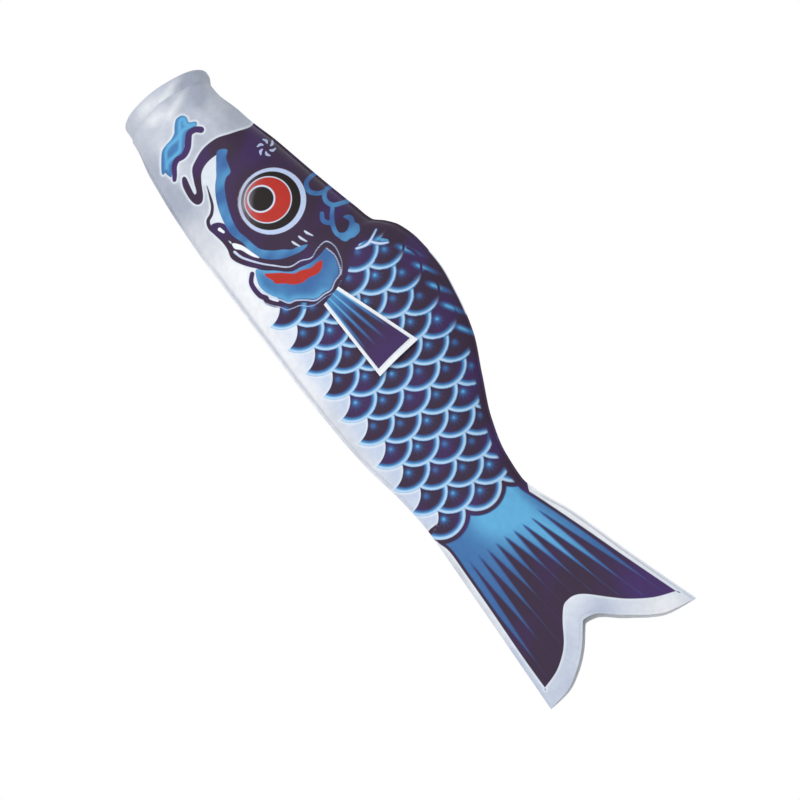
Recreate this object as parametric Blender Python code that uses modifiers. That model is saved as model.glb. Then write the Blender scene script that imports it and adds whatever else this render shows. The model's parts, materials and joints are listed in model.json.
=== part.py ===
"""Carp streamer: a windsock of thin cloth, cut and printed as a carp.

Two mirrored cloth sides are sewn together along the back and the belly, with a narrow seam
allowance left standing outside. A stiff hoop in a folded hem holds the mouth open, the tail
stays open between its two hemmed edges, and a pectoral fin is sewn to each side. The cloth
bends at three places, the neck, the waist and the tail root, where a short length of each
side is a piece of its own.

The streamer flies level. +X runs from the mouth to the tail, +Z is up to the back, and the
left side of the fish is at -Y. The origin is the centre of the mouth, on its front edge.
"""

import math

import bmesh
import bpy
import numpy as np
from mathutils import Matrix, Vector

# Lengths along the body
TRUNK_LENGTH = 0.512
TAIL_LENGTH = 0.188
WAIST_STATION = 0.370
NECK_FOLD_LENGTH = 0.016
WAIST_FOLD_LENGTH = 0.018
TAIL_FOLD_LENGTH = 0.013

# Heights above and below the centre of the mouth
MOUTH_RADIUS = 0.046
HEAD_TOP = 0.085
HUMP_TOP = 0.1105
BELLY_DEPTH = 0.060
TAIL_ROOT_TOP = 0.0505
TAIL_ROOT_BOTTOM = 0.0445
TAIL_TIP_TOP = 0.1125
TAIL_TIP_BOTTOM = 0.053

# Half widths of the open body, at the hump, the tail root and the tips of the tail
HUMP_HALF_WIDTH = 0.032
TAIL_ROOT_HALF_WIDTH = 0.0125
TAIL_TIP_HALF_WIDTH = 0.0065

# How far the fork of the tail is cut in from its tips
FORK_DEPTH = 0.048

# Cloth and fits
CLOTH = 0.0006
FIT_GAP = 0.0003
SEAM_ALLOWANCE = 0.0025

# Mouth hem, hoop and joiner
HEM_LENGTH = 0.013
HEM_FOLD_RADIUS = 0.0008
HEM_STITCH_INSET = 0.0035
HOOP_WIRE_RADIUS = 0.0012
HOOP_END_GAP = 0.002
JOINER_WALL = 0.0006
JOINER_LENGTH = 0.030

# Pectoral fins, as seen from the side
FIN_LENGTH = 0.0855
FIN_ROOT_STATION = 0.259
FIN_ROOT_SLANT = 0.005
FIN_TIP_SLANT = 0.007
FIN_ROOT_BOTTOM = 0.003
FIN_ROOT_TOP = 0.024
FIN_TIP_BOTTOM = 0.0045
FIN_TIP_TOP = 0.0535
FIN_ROOT_LIFT = 0.0015
FIN_TIP_LIFT = 0.0035
FIN_HEM_WIDTH = 0.006
FIN_HEM_INSET = 0.0015

# Hems of the tail's trailing edges
TAIL_HEM_WIDTH = 0.005
TAIL_HEM_MARGIN = 0.0005
TAIL_HEM_ENDS = (0.16, 0.84)

# Number of straight steps in each direction
FRONT_ROWS = 24
REAR_ROWS = 9
TAIL_ROWS = 12
FOLD_ROWS = 2
SECTION_STEPS = 14
HEM_STEPS = 40
HOOP_STEPS = 48
FIN_STEPS = (8, 4)
TAIL_HEM_STEPS = 14

LEFT, RIGHT = -1, 1
SIDES = {"left": LEFT, "right": RIGHT}

# Stations where one piece of cloth ends and the next begins
TIP_STATION = TRUNK_LENGTH + TAIL_LENGTH
NECK_END = HEM_LENGTH + NECK_FOLD_LENGTH
WAIST_START = WAIST_STATION - WAIST_FOLD_LENGTH / 2
WAIST_END = WAIST_STATION + WAIST_FOLD_LENGTH / 2
TAIL_FOLD_START = TRUNK_LENGTH - TAIL_FOLD_LENGTH / 2
TAIL_FOLD_END = TRUNK_LENGTH + TAIL_FOLD_LENGTH / 2

# The seam's two layers lie face to face with one gap between them.
SEAM_OFFSET = FIT_GAP / 2 + CLOTH
JOINER_RADIUS = HOOP_WIRE_RADIUS + FIT_GAP + JOINER_WALL
HOOP_RADIUS = MOUTH_RADIUS - CLOTH - FIT_GAP - JOINER_RADIUS


def clear_scene():
    """Remove every object, so that the model starts from an empty scene."""
    for thing in list(bpy.data.objects):
        bpy.data.objects.remove(thing, do_unlink=True)


def make_collection(name):
    """Return a new collection, linked to the scene."""
    collection = bpy.data.collections.new(name)
    bpy.context.scene.collection.children.link(collection)
    return collection


def make_material(name, colour, roughness):
    """Return a Principled material of one colour."""
    material = bpy.data.materials.new(name)
    material.use_nodes = True
    shader = material.node_tree.nodes["Principled BSDF"]
    shader.inputs["Base Color"].default_value = (*colour, 1.0)
    shader.inputs["Roughness"].default_value = roughness
    shader.inputs["Metallic"].default_value = 0.0
    material.diffuse_color = (*colour, 1.0)
    return material


# ---------------------------------------------------------------- outlines and sections


def trunk(share):
    """Station at a share of the trunk's length."""
    return TRUNK_LENGTH * share


def tail(share):
    """Station at a share of the tail's length."""
    return TRUNK_LENGTH + TAIL_LENGTH * share


def between(start, end, share):
    """Value at a share of the way from start to end."""
    return start + (end - start) * share


# Seam line of the back: (station, height)
BACK_LINE = (
    (0.0, MOUTH_RADIUS),
    (trunk(0.100), between(MOUTH_RADIUS, HEAD_TOP, 0.05)),
    (trunk(0.190), between(MOUTH_RADIUS, HEAD_TOP, 0.32)),
    (trunk(0.285), between(MOUTH_RADIUS, HEAD_TOP, 0.58)),
    (trunk(0.380), between(MOUTH_RADIUS, HEAD_TOP, 0.87)),
    (trunk(0.418), HEAD_TOP),
    (trunk(0.436), between(HEAD_TOP, HUMP_TOP, 0.35)),
    (trunk(0.459), between(HEAD_TOP, HUMP_TOP, 0.67)),
    (trunk(0.504), between(HEAD_TOP, HUMP_TOP, 0.92)),
    (trunk(0.562), HUMP_TOP),
    (trunk(0.629), between(TAIL_ROOT_TOP, HUMP_TOP, 0.93)),
    (trunk(0.705), between(TAIL_ROOT_TOP, HUMP_TOP, 0.775)),
    (trunk(0.781), between(TAIL_ROOT_TOP, HUMP_TOP, 0.483)),
    (trunk(0.860), between(TAIL_ROOT_TOP, HUMP_TOP, 0.183)),
    (trunk(0.928), between(TAIL_ROOT_TOP, HUMP_TOP, 0.033)),
    (trunk(0.985), TAIL_ROOT_TOP),
    (tail(0.080), between(TAIL_ROOT_TOP, TAIL_TIP_TOP, 0.10)),
    (tail(0.235), between(TAIL_ROOT_TOP, TAIL_TIP_TOP, 0.29)),
    (tail(0.600), between(TAIL_ROOT_TOP, TAIL_TIP_TOP, 0.62)),
    (tail(1.000), TAIL_TIP_TOP),
)

# Seam line of the belly: (station, depth)
BELLY_LINE = (
    (0.0, MOUTH_RADIUS),
    (trunk(0.100), between(MOUTH_RADIUS, BELLY_DEPTH, 0.45)),
    (trunk(0.190), between(MOUTH_RADIUS, BELLY_DEPTH, 0.80)),
    (trunk(0.320), BELLY_DEPTH),
    (trunk(0.570), BELLY_DEPTH),
    (trunk(0.705), between(TAIL_ROOT_BOTTOM, BELLY_DEPTH, 0.87)),
    (trunk(0.790), between(TAIL_ROOT_BOTTOM, BELLY_DEPTH, 0.66)),
    (trunk(0.880), between(TAIL_ROOT_BOTTOM, BELLY_DEPTH, 0.20)),
    (trunk(0.960), TAIL_ROOT_BOTTOM),
    (tail(0.050), between(TAIL_ROOT_BOTTOM, TAIL_TIP_BOTTOM, 0.12)),
    (tail(1.000), TAIL_TIP_BOTTOM),
)

# Half width of the section: (station, half width)
WIDTH_LINE = (
    (0.0, MOUTH_RADIUS),
    (trunk(0.100), MOUTH_RADIUS),
    (trunk(0.290), between(HUMP_HALF_WIDTH, MOUTH_RADIUS, 0.75)),
    (trunk(0.420), between(HUMP_HALF_WIDTH, MOUTH_RADIUS, 0.39)),
    (trunk(0.570), HUMP_HALF_WIDTH),
    (trunk(0.720), between(TAIL_ROOT_HALF_WIDTH, HUMP_HALF_WIDTH, 0.68)),
    (trunk(0.860), between(TAIL_ROOT_HALF_WIDTH, HUMP_HALF_WIDTH, 0.32)),
    (trunk(0.980), TAIL_ROOT_HALF_WIDTH),
    (tail(0.250), between(TAIL_TIP_HALF_WIDTH, TAIL_ROOT_HALF_WIDTH, 0.42)),
    (tail(1.000), TAIL_TIP_HALF_WIDTH),
)

# How sharply the sides meet at the seams: 1 is an ellipse, 2 is a lens
SHARPNESS_LINE = (
    (0.0, 1.0),
    (trunk(0.120), 1.0),
    (trunk(0.290), 1.08),
    (trunk(0.500), 1.30),
    (trunk(1.000), 1.50),
    (tail(1.000), 1.60),
)

# Trailing edge of the tail: (share of its height, share of the fork's depth)
FORK_LINE = (
    (0.000, 0.00),
    (0.120, 0.07),
    (0.250, 0.31),
    (0.360, 0.62),
    (0.430, 0.87),
    (0.475, 1.00),
    (0.540, 0.96),
    (0.660, 0.60),
    (0.850, 0.12),
    (1.000, 0.02),
)


def smooth_curve(knots, at):
    """Values at the places `at`, on a cubic through the knots that never overshoots them."""
    x, y = np.array(knots, float).T
    step = np.diff(x)
    slope = np.diff(y) / step
    tangent = np.zeros_like(y)
    tangent[0], tangent[-1] = slope[0], slope[-1]
    before, after = slope[:-1], slope[1:]
    monotone = before * after > 0
    weight = 2 * step[1:] + step[:-1], step[1:] + 2 * step[:-1]
    safe_before = np.where(monotone, before, 1.0)
    safe_after = np.where(monotone, after, 1.0)
    mean = sum(weight) / (weight[0] / safe_before + weight[1] / safe_after)
    tangent[1:-1] = np.where(monotone, mean, 0.0)
    index = np.clip(np.searchsorted(x, at) - 1, 0, len(step) - 1)
    t = (at - x[index]) / step[index]
    start = (1 + 2 * t) * (1 - t) ** 2 * y[index] + t**2 * (3 - 2 * t) * y[index + 1]
    lean = t * (1 - t) ** 2 * tangent[index] - t**2 * (1 - t) * tangent[index + 1]
    return start + lean * step[index]


def section_point(station, turn, side, inset=0.0):
    """Point on the outside of one cloth side.

    turn runs from 0 at the belly seam to 1 at the back seam, and inset moves the point
    towards the middle plane.
    """
    bottom = -smooth_curve(BELLY_LINE, station)
    top = smooth_curve(BACK_LINE, station)
    sharpness = smooth_curve(SHARPNESS_LINE, station)
    height = between(bottom, top, (1 - np.cos(math.pi * turn)) / 2)
    width = smooth_curve(WIDTH_LINE, station) * np.sin(math.pi * turn).clip(0) ** sharpness
    return np.stack([station + 0 * turn, side * (SEAM_OFFSET + width - inset), height], -1)


def turn_at(station, height):
    """Turn at which one side's section reaches a height."""
    bottom = -smooth_curve(BELLY_LINE, station)
    top = smooth_curve(BACK_LINE, station)
    share = (height - bottom) / (top - bottom)
    return np.arccos(1 - 2 * share) / math.pi


# ------------------------------------------------------------------------ mesh building


def sheet_object(name, points, side, thickness, collection):
    """Return one closed sheet: a grid of points on its outer face, with its thickness inside."""
    rows, columns = points.shape[:2]
    mesh = bpy.data.meshes.new(name)
    build = bmesh.new()
    verts = [[build.verts.new(point) for point in row] for row in points]
    for i in range(rows - 1):
        for j in range(columns - 1):
            corners = [verts[i][j], verts[i + 1][j], verts[i + 1][j + 1], verts[i][j + 1]]
            build.faces.new(corners if side == LEFT else corners[::-1])
    build.to_mesh(mesh)
    build.free()
    mesh.shade_smooth()
    sheet = bpy.data.objects.new(name, mesh)
    collection.objects.link(sheet)
    wall = sheet.modifiers.new("cloth", "SOLIDIFY")
    wall.thickness = thickness
    wall.offset = -1.0
    wall.use_even_offset = True
    return sheet


def place_origin(thing, origin):
    """Move an object's origin to a point, leaving its shape where it is."""
    thing.data.transform(Matrix.Translation(-Vector(origin)))
    thing.location = origin


def side_panel(name, stations, side, collection):
    """Return one side of the body between its first and last rows of stations.

    stations is a grid with one row for each ring and one column for each turn. A flat
    allowance stands on the outside of both seams.
    """
    turns = np.broadcast_to(np.linspace(0, 1, stations.shape[1]), stations.shape)
    skin = section_point(stations, turns, side)
    allowance = np.array([0.0, 0.0, SEAM_ALLOWANCE])
    belly, back = skin[:, :1] - allowance, skin[:, -1:] + allowance
    points = np.concatenate([belly, skin, back], axis=1)
    return sheet_object(name, points, side, CLOTH, collection)


def straight_stations(start, end, rows):
    """Grid of stations for a panel with square ends."""
    steps = np.linspace(start, end, rows + 1)
    return np.repeat(steps[:, None], SECTION_STEPS + 1, axis=1)


def fork_edge(turns):
    """Station of the tail's trailing edge at each turn."""
    share = (1 - np.cos(math.pi * turns)) / 2
    return TIP_STATION - FORK_DEPTH * smooth_curve(FORK_LINE, share)


def forked_stations(start, rows, columns):
    """Grid of stations for the tail, whose last row follows the forked edge."""
    edge = fork_edge(np.linspace(0, 1, columns))
    share = np.linspace(0, 1, rows + 1)[:, None]
    return start + (edge - start) * share


# ------------------------------------------------------------------------------- pieces


def build_hoop(collection, material):
    """Springy ring of round rod, whose two ends meet at the belly."""
    half_gap = HOOP_END_GAP / (2 * HOOP_RADIUS)
    angles = np.linspace(half_gap, 2 * math.pi - half_gap, HOOP_STEPS) - math.pi / 2
    rod = bpy.data.curves.new("mouth_hoop", "CURVE")
    rod.dimensions = "3D"
    rod.bevel_depth = HOOP_WIRE_RADIUS
    rod.bevel_resolution = 2
    rod.use_fill_caps = True
    line = rod.splines.new("POLY")
    line.points.add(HOOP_STEPS - 1)
    for point, angle in zip(line.points, angles):
        across, up = HOOP_RADIUS * math.cos(angle), HOOP_RADIUS * math.sin(angle)
        point.co = (hoop_station(), across, up, 1.0)
    hoop = bpy.data.objects.new("mouth_hoop", rod)
    hoop.data.materials.append(material)
    collection.objects.link(hoop)
    return hoop


def hoop_station():
    """Station of the hoop's own circle, just inside the front fold of the hem."""
    return CLOTH + FIT_GAP + JOINER_RADIUS


def build_joiner(collection, material):
    """Short tube that the two ends of the hoop are pushed into, bent to the hoop's curve."""
    reach = JOINER_LENGTH / (2 * HOOP_RADIUS)
    angles = np.linspace(-reach, reach, 7) - math.pi / 2
    around = np.linspace(0, 2 * math.pi, 13)[:-1]
    bore = HOOP_WIRE_RADIUS + FIT_GAP
    build = bmesh.new()
    loops = []
    for radius in (JOINER_RADIUS, bore):
        for angle in angles:
            out = HOOP_RADIUS + radius * np.cos(around)
            along = hoop_station() + radius * np.sin(around)
            ring = np.stack([along, out * math.cos(angle), out * math.sin(angle)], -1)
            loops.append([build.verts.new(point) for point in ring])
    outer, inner = loops[: len(angles)], loops[len(angles) :]
    path = outer + inner[::-1] + outer[:1]
    for first, second in zip(path, path[1:]):
        for k in range(len(around)):
            n = (k + 1) % len(around)
            build.faces.new([first[k], first[n], second[n], second[k]])
    bmesh.ops.recalc_face_normals(build, faces=build.faces)
    mesh = bpy.data.meshes.new("hoop_joiner")
    build.to_mesh(mesh)
    build.free()
    mesh.shade_smooth()
    mesh.set_sharp_from_angle(angle=math.radians(40))
    joiner = bpy.data.objects.new("hoop_joiner", mesh)
    joiner.data.materials.append(material)
    collection.objects.link(joiner)
    return joiner


def hem_profile():
    """Half section of the mouth hem, on its outer face: (station, radius).

    It runs from the stitched end of the outer layer to the flat front edge, round it, and back
    along the inner layer, which closes on the outer one at the line of stitches.
    """
    fold = HEM_FOLD_RADIUS
    inner_radius = HOOP_RADIUS - JOINER_RADIUS - FIT_GAP - CLOTH
    front_arc = [
        (fold - fold * math.cos(angle), MOUTH_RADIUS - fold + fold * math.sin(angle))
        for angle in np.linspace(math.pi / 2, 0, 4)
    ]
    back_arc = [
        (fold - fold * math.cos(angle), inner_radius + fold - fold * math.sin(angle))
        for angle in np.linspace(0, math.pi / 2, 4)
    ]
    closing = MOUTH_RADIUS - 2 * CLOTH - FIT_GAP
    tunnel_end = hoop_station() + JOINER_RADIUS + FIT_GAP
    return [
        (HEM_LENGTH, MOUTH_RADIUS),
        *front_arc,
        *back_arc,
        (tunnel_end, inner_radius),
        (HEM_LENGTH - HEM_STITCH_INSET, closing),
        (HEM_LENGTH, closing),
    ]


def build_hem(collection, material):
    """Folded band of cloth round the mouth, with a tunnel for the hoop."""
    mesh = bpy.data.meshes.new("mouth_hem")
    build = bmesh.new()
    points = [build.verts.new((station, 0.0, radius)) for station, radius in hem_profile()]
    for first, second in zip(points, points[1:]):
        build.edges.new([first, second])
    build.to_mesh(mesh)
    build.free()
    hem = bpy.data.objects.new("mouth_hem", mesh)
    hem.data.materials.append(material)
    collection.objects.link(hem)
    # Half a step of turn puts a flat facet at the top, at the bottom and at each side.
    hem.rotation_euler.x = math.pi / HEM_STEPS
    turning = hem.modifiers.new("turn", "SCREW")
    turning.axis = "X"
    turning.steps = HEM_STEPS
    turning.render_steps = HEM_STEPS
    turning.use_merge_vertices = True
    turning.merge_threshold = 0.0001
    wall = hem.modifiers.new("cloth", "SOLIDIFY")
    wall.thickness = CLOTH
    wall.offset = -1.0
    wall.use_even_offset = True
    return hem


def fin_grid(steps, side, lift_root, lift_tip, reach=1.0):
    """Grid of points on the outer face of a fin that lies along the body.

    reach is the share of the fin's length that the grid covers. The lift is the height of the
    outer face above the body's cloth, at the root and at the tip.
    """
    along = np.linspace(0, reach, steps[0] + 1)[:, None]
    up = np.linspace(0, 1, steps[1] + 1)[None, :]
    slant = between(FIN_ROOT_SLANT, FIN_TIP_SLANT, along) * (1 - up)
    station = FIN_ROOT_STATION + slant + FIN_LENGTH * along
    bottom = between(FIN_ROOT_BOTTOM, FIN_TIP_BOTTOM, along)
    top = between(FIN_ROOT_TOP, FIN_TIP_TOP, along)
    height = between(bottom, top, up)
    lift = between(lift_root, lift_tip, along) + 0 * up
    return section_point(station, turn_at(station, height), side, inset=-lift)


def build_fin(name, side, collection, material):
    """Pectoral fin of two layers of cloth, with its origin on the line that it flaps about."""
    layers = 2 * CLOTH
    points = fin_grid(FIN_STEPS, side, FIN_ROOT_LIFT + layers, FIN_TIP_LIFT + layers)
    fin = sheet_object(name, points, side, layers, collection)
    fin.data.materials.append(material)
    place_origin(fin, fin_hinge(side))
    return fin


def fin_hinge(side):
    """Point on the upright line that a fin flaps about, in the middle of its two layers."""
    height = between(FIN_ROOT_BOTTOM, FIN_ROOT_TOP, 0.5)
    station = np.array(FIN_ROOT_STATION)
    lift = FIN_ROOT_LIFT + CLOTH
    return section_point(station, turn_at(station, height), side, inset=-lift)


def build_fin_hem(name, side, collection, material):
    """Root of a fin, folded under it and stitched flat to the body."""
    start = FIN_ROOT_STATION + FIN_ROOT_SLANT
    stations = np.linspace(start, start + FIN_HEM_WIDTH, 3)[:, None]
    heights = np.linspace(FIN_ROOT_BOTTOM + FIN_HEM_INSET, FIN_ROOT_TOP - FIN_HEM_INSET, 5)
    stations, heights = np.broadcast_arrays(stations, heights[None, :])
    lift = FIN_ROOT_LIFT - FIT_GAP
    points = section_point(stations, turn_at(stations, heights), side, inset=-lift)
    hem = sheet_object(name, points, side, CLOTH, collection)
    hem.data.materials.append(material)
    return hem


def build_tail_hem(name, side, collection, material):
    """Strip of cloth turned in behind the trailing edge of one side of the tail."""
    turns = np.linspace(*TAIL_HEM_ENDS, TAIL_HEM_STEPS + 1)[None, :]
    edge = fork_edge(turns) - TAIL_HEM_MARGIN
    depth = np.array([TAIL_HEM_WIDTH, 0.0])[:, None]
    stations, turns = np.broadcast_arrays(edge - depth, turns)
    points = section_point(stations, turns, side, inset=CLOTH + FIT_GAP)
    hem = sheet_object(name, points, side, CLOTH, collection)
    hem.data.materials.append(material)
    return hem


def build_side(name, side, collection, materials):
    """Every piece of one side of the fish, from the neck to the tail."""
    print_cloth, plain = materials["print"], materials["plain"]
    neck = straight_stations(HEM_LENGTH + FIT_GAP, NECK_END - FIT_GAP, FOLD_ROWS)
    front = straight_stations(NECK_END, WAIST_START, FRONT_ROWS)
    waist = straight_stations(WAIST_START + FIT_GAP, WAIST_END - FIT_GAP, FOLD_ROWS)
    rear = straight_stations(WAIST_END, TAIL_FOLD_START, REAR_ROWS)
    root = straight_stations(TAIL_FOLD_START + FIT_GAP, TAIL_FOLD_END - FIT_GAP, FOLD_ROWS)
    tail_grid = forked_stations(TAIL_FOLD_END, TAIL_ROWS, SECTION_STEPS + 1)
    panels = {
        "neck_cloth": (neck, plain),
        "front_panel": (front, print_cloth),
        "waist_cloth": (waist, print_cloth),
        "rear_panel": (rear, print_cloth),
        "tail_root_cloth": (root, print_cloth),
        "tail_panel": (tail_grid, print_cloth),
    }
    for piece, (stations, material) in panels.items():
        panel = side_panel(f"{name}_{piece}", stations, side, collection)
        panel.data.materials.append(material)
    build_tail_hem(f"{name}_tail_hem", side, collection, plain)
    build_fin_hem(f"{name}_fin_root_hem", side, collection, plain)
    build_fin(f"{name}_pectoral_fin", side, collection, materials["fin"])


def main():
    """Build the whole streamer."""
    clear_scene()
    collection = make_collection("carp_streamer")
    materials = {
        "print": make_material("printed_cloth", (0.13, 0.16, 0.38), 0.70),
        "plain": make_material("plain_cloth", (0.80, 0.82, 0.86), 0.75),
        "fin": make_material("fin_cloth", (0.07, 0.12, 0.33), 0.70),
        "hoop": make_material("hoop_plastic", (0.72, 0.73, 0.75), 0.45),
        "joiner": make_material("joiner_plastic", (0.60, 0.62, 0.66), 0.40),
    }
    build_hoop(collection, materials["hoop"])
    build_joiner(collection, materials["joiner"])
    build_hem(collection, materials["plain"])
    for name, side in SIDES.items():
        build_side(name, side, collection, materials)


main()
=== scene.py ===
"""Looks of the carp streamer: printed satin cloth, stitched seams and hems, fins and mouth hoop.

The cloth sides repeat the section formula of the CAD model on a fine grid. Everything that is printed
on the cloth is a set of signed fields: each is worked out for every point of the grid as its distance
inside the edge of a printed shape, and the material turns the fields into dyed colours. Lengths are in
metres. +X runs from the mouth to the tail, +Z is the back, and the left side of the fish is at -Y.
"""

import json
import logging
import math
from dataclasses import dataclass, field
from enum import Enum
from typing import Callable, Iterable, Sequence

import bpy
import numpy as np
from mathutils import Matrix, Vector


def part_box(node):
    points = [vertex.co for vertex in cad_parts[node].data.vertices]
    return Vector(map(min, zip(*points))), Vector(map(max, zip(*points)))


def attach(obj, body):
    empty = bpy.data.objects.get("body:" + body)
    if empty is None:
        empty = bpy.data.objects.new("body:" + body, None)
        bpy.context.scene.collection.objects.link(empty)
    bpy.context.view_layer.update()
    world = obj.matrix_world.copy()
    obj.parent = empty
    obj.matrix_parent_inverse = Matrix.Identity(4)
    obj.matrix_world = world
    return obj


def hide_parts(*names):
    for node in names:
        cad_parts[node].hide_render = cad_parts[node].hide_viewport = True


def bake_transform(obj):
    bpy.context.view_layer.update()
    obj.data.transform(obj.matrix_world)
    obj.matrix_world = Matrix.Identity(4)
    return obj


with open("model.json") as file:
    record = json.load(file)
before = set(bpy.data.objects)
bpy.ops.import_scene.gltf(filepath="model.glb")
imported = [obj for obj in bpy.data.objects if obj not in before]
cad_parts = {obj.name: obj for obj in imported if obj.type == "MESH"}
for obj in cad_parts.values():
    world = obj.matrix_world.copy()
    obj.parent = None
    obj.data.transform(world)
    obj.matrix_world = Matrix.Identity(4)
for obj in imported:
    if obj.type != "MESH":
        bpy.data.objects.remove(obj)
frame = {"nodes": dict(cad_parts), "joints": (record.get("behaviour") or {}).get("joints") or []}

log = logging.getLogger("carp_streamer")
Array = np.ndarray
Points = Sequence[tuple[float, float]]
Colour = tuple[float, float, float, float]

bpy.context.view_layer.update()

# Cloth and fits of the CAD model
CLOTH = 0.0006
FIT_GAP = 0.0003
SEAM_ALLOWANCE = 0.0025
SEAM_OFFSET = FIT_GAP / 2 + CLOTH
HEM_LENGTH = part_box("mouth_hem")[1].x
MOUTH_RADIUS = round(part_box("mouth_hem")[1].z, 4)
TRUNK_LENGTH = next(j["pos_m"][0] for j in frame["joints"] if j["name"] == "tail_sway")
TIP_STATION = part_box("left_tail_panel")[1].x
TAIL_LENGTH = TIP_STATION - TRUNK_LENGTH
HUMP_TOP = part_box("left_front_panel")[1].z - SEAM_ALLOWANCE
BELLY_DEPTH = -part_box("left_front_panel")[0].z - SEAM_ALLOWANCE
TAIL_TIP_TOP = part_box("left_tail_panel")[1].z - SEAM_ALLOWANCE
TAIL_TIP_BOTTOM = -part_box("left_tail_panel")[0].z - SEAM_ALLOWANCE
HEAD_TOP = 0.085
TAIL_ROOT_TOP = 0.0505
TAIL_ROOT_BOTTOM = 0.0445
HUMP_HALF_WIDTH = 0.032
TAIL_ROOT_HALF_WIDTH = 0.0125
TAIL_TIP_HALF_WIDTH = 0.0065
FORK_DEPTH = 0.048

# The cloth is printed flat and then fills out: a printed place moves forwards by this share of the bulge.
PRINT_LEAN = math.tan(math.radians(17))
FAR = 0.02
NARROWEST = 0.0101


class Side(Enum):
    """The two mirrored sides of the fish, by the sign of Y."""

    LEFT = -1
    RIGHT = 1


class Layer(Enum):
    """Printed layers, from the first on the cloth to the last. Each is a field, positive inside."""

    GLOW = "glow"
    SKY = "sky"
    INK = "ink"
    OVER = "over"
    PALE = "pale"
    RED = "red"
    BLACK = "black"


class Tint(Enum):
    """Shares from 0 to 1 that vary a layer's colour over the surface."""

    BLOOM = "bloom"
    VIOLET = "violet"
    TONE = "tone"
    # The cool share also holds the painted blue shade of the bare cloth.
    COOL = "cool"
    VEIL = "veil"
    FADE = "fade"
    # Share of painted shade on the bare cloth.
    SHADOW = "shadow"


# ------------------------------------------------------------------------ curves and fields


def between(start: float, end: float, share: float) -> float:
    """Value at a share of the way from start to end."""
    return start + (end - start) * share


def trunk(share: float) -> float:
    """Station at a share of the trunk's length."""
    return TRUNK_LENGTH * share


def tail(share: float) -> float:
    """Station at a share of the tail's length."""
    return TRUNK_LENGTH + TAIL_LENGTH * share


def smooth_step(low: float, high: float, value: Array) -> Array:
    """0 below low, 1 above high, and a cubic with level ends between them."""
    share = np.clip((value - low) / (high - low), 0, 1)
    return share * share * (3 - 2 * share)


def bump_at(value: Array, centre: float, width: float) -> Array:
    """Bell curve of height 1 round a centre: e to the power of minus the squared distance in widths."""
    return np.exp(-(((value - centre) / width) ** 2))


def smooth_curve(knots: Points, at: Array) -> Array:
    """Values on a cubic through the knots that never overshoots them.

    Args:
        knots: (place, value) pairs, with the places rising.
        at: places to read.

    Returns:
        The value at each place. A knot's slope is the harmonic mean of the slopes beside it, or 0 at
        a turning point.
    """
    x, y = np.array(knots, float).T
    step = np.diff(x)
    slope = np.diff(y) / step
    tangent = np.zeros_like(y)
    tangent[0], tangent[-1] = slope[0], slope[-1]
    before, after = slope[:-1], slope[1:]
    monotone = before * after > 0
    weight = 2 * step[1:] + step[:-1], step[1:] + 2 * step[:-1]
    safe_before = np.where(monotone, before, 1.0)
    safe_after = np.where(monotone, after, 1.0)
    mean = sum(weight) / (weight[0] / safe_before + weight[1] / safe_after)
    tangent[1:-1] = np.where(monotone, mean, 0.0)
    index = np.clip(np.searchsorted(x, at) - 1, 0, len(step) - 1)
    t = (at - x[index]) / step[index]
    start = (1 + 2 * t) * (1 - t) ** 2 * y[index] + t**2 * (3 - 2 * t) * y[index + 1]
    lean = t * (1 - t) ** 2 * tangent[index] - t**2 * (1 - t) * tangent[index + 1]
    return start + lean * step[index]


def rounded(points: Points, closed: bool = False, steps: int = 5) -> Array:
    """Smooth line through given points; a point given twice makes a corner.

    Args:
        points: the points to pass through.
        closed: whether the line returns to its first point.
        steps: straight pieces between two neighbouring points.

    Returns:
        Points of a Catmull-Rom curve: each stretch is the cubic whose end slopes are half the step
        between the points on either side.
    """
    p = np.array(points, float)
    if closed:
        p = np.concatenate([p[-1:], p, p[:2]])
    else:
        p = np.concatenate([p[:1], p, p[-1:]])
    t = (np.arange(steps) / steps)[None, :, None]
    a, b, c, d = (p[i : len(p) - 3 + i, None, :] for i in range(4))
    bend, twist = a - 2.5 * b + 2 * c - d / 2, 1.5 * (b - c) + (d - a) / 2
    curve = b + t / 2 * (c - a) + t**2 * bend + t**3 * twist
    return np.concatenate([curve.reshape(-1, 2), p[-2][None, :]])


def nearest(at: Array, line: Array) -> tuple[Array, Array]:
    """Distance from each place to a line of straight pieces, and how far along it the nearest place is.

    Args:
        at: places, n by 2.
        line: corners of the line, m by 2.

    Returns:
        The distances, and the shares of the line's pieces, from 0 to 1.
    """
    best = np.full(len(at), np.inf)
    share = np.zeros(len(at))
    pieces = len(line) - 1
    for k in range(pieces):
        run = line[k + 1] - line[k]
        length = max(float(run @ run), 1e-14)
        t = np.clip(((at - line[k]) @ run) / length, 0, 1)
        distance = np.hypot(*(at - line[k] - t[:, None] * run).T)
        closer = distance < best
        best = np.where(closer, distance, best)
        share = np.where(closer, (k + t) / pieces, share)
    return best, share


def near_only(at: Array, line: Array, reach: float, work: Callable[[Array], Array]) -> Array:
    """Works a field out only near a line, and gives the far value elsewhere."""
    low, high = line.min(0) - reach, line.max(0) + reach
    close = ((at > low) & (at < high)).all(1)
    out = np.full(len(at), -FAR)
    if close.any():
        out[close] = work(at[close])
    return out


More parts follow.
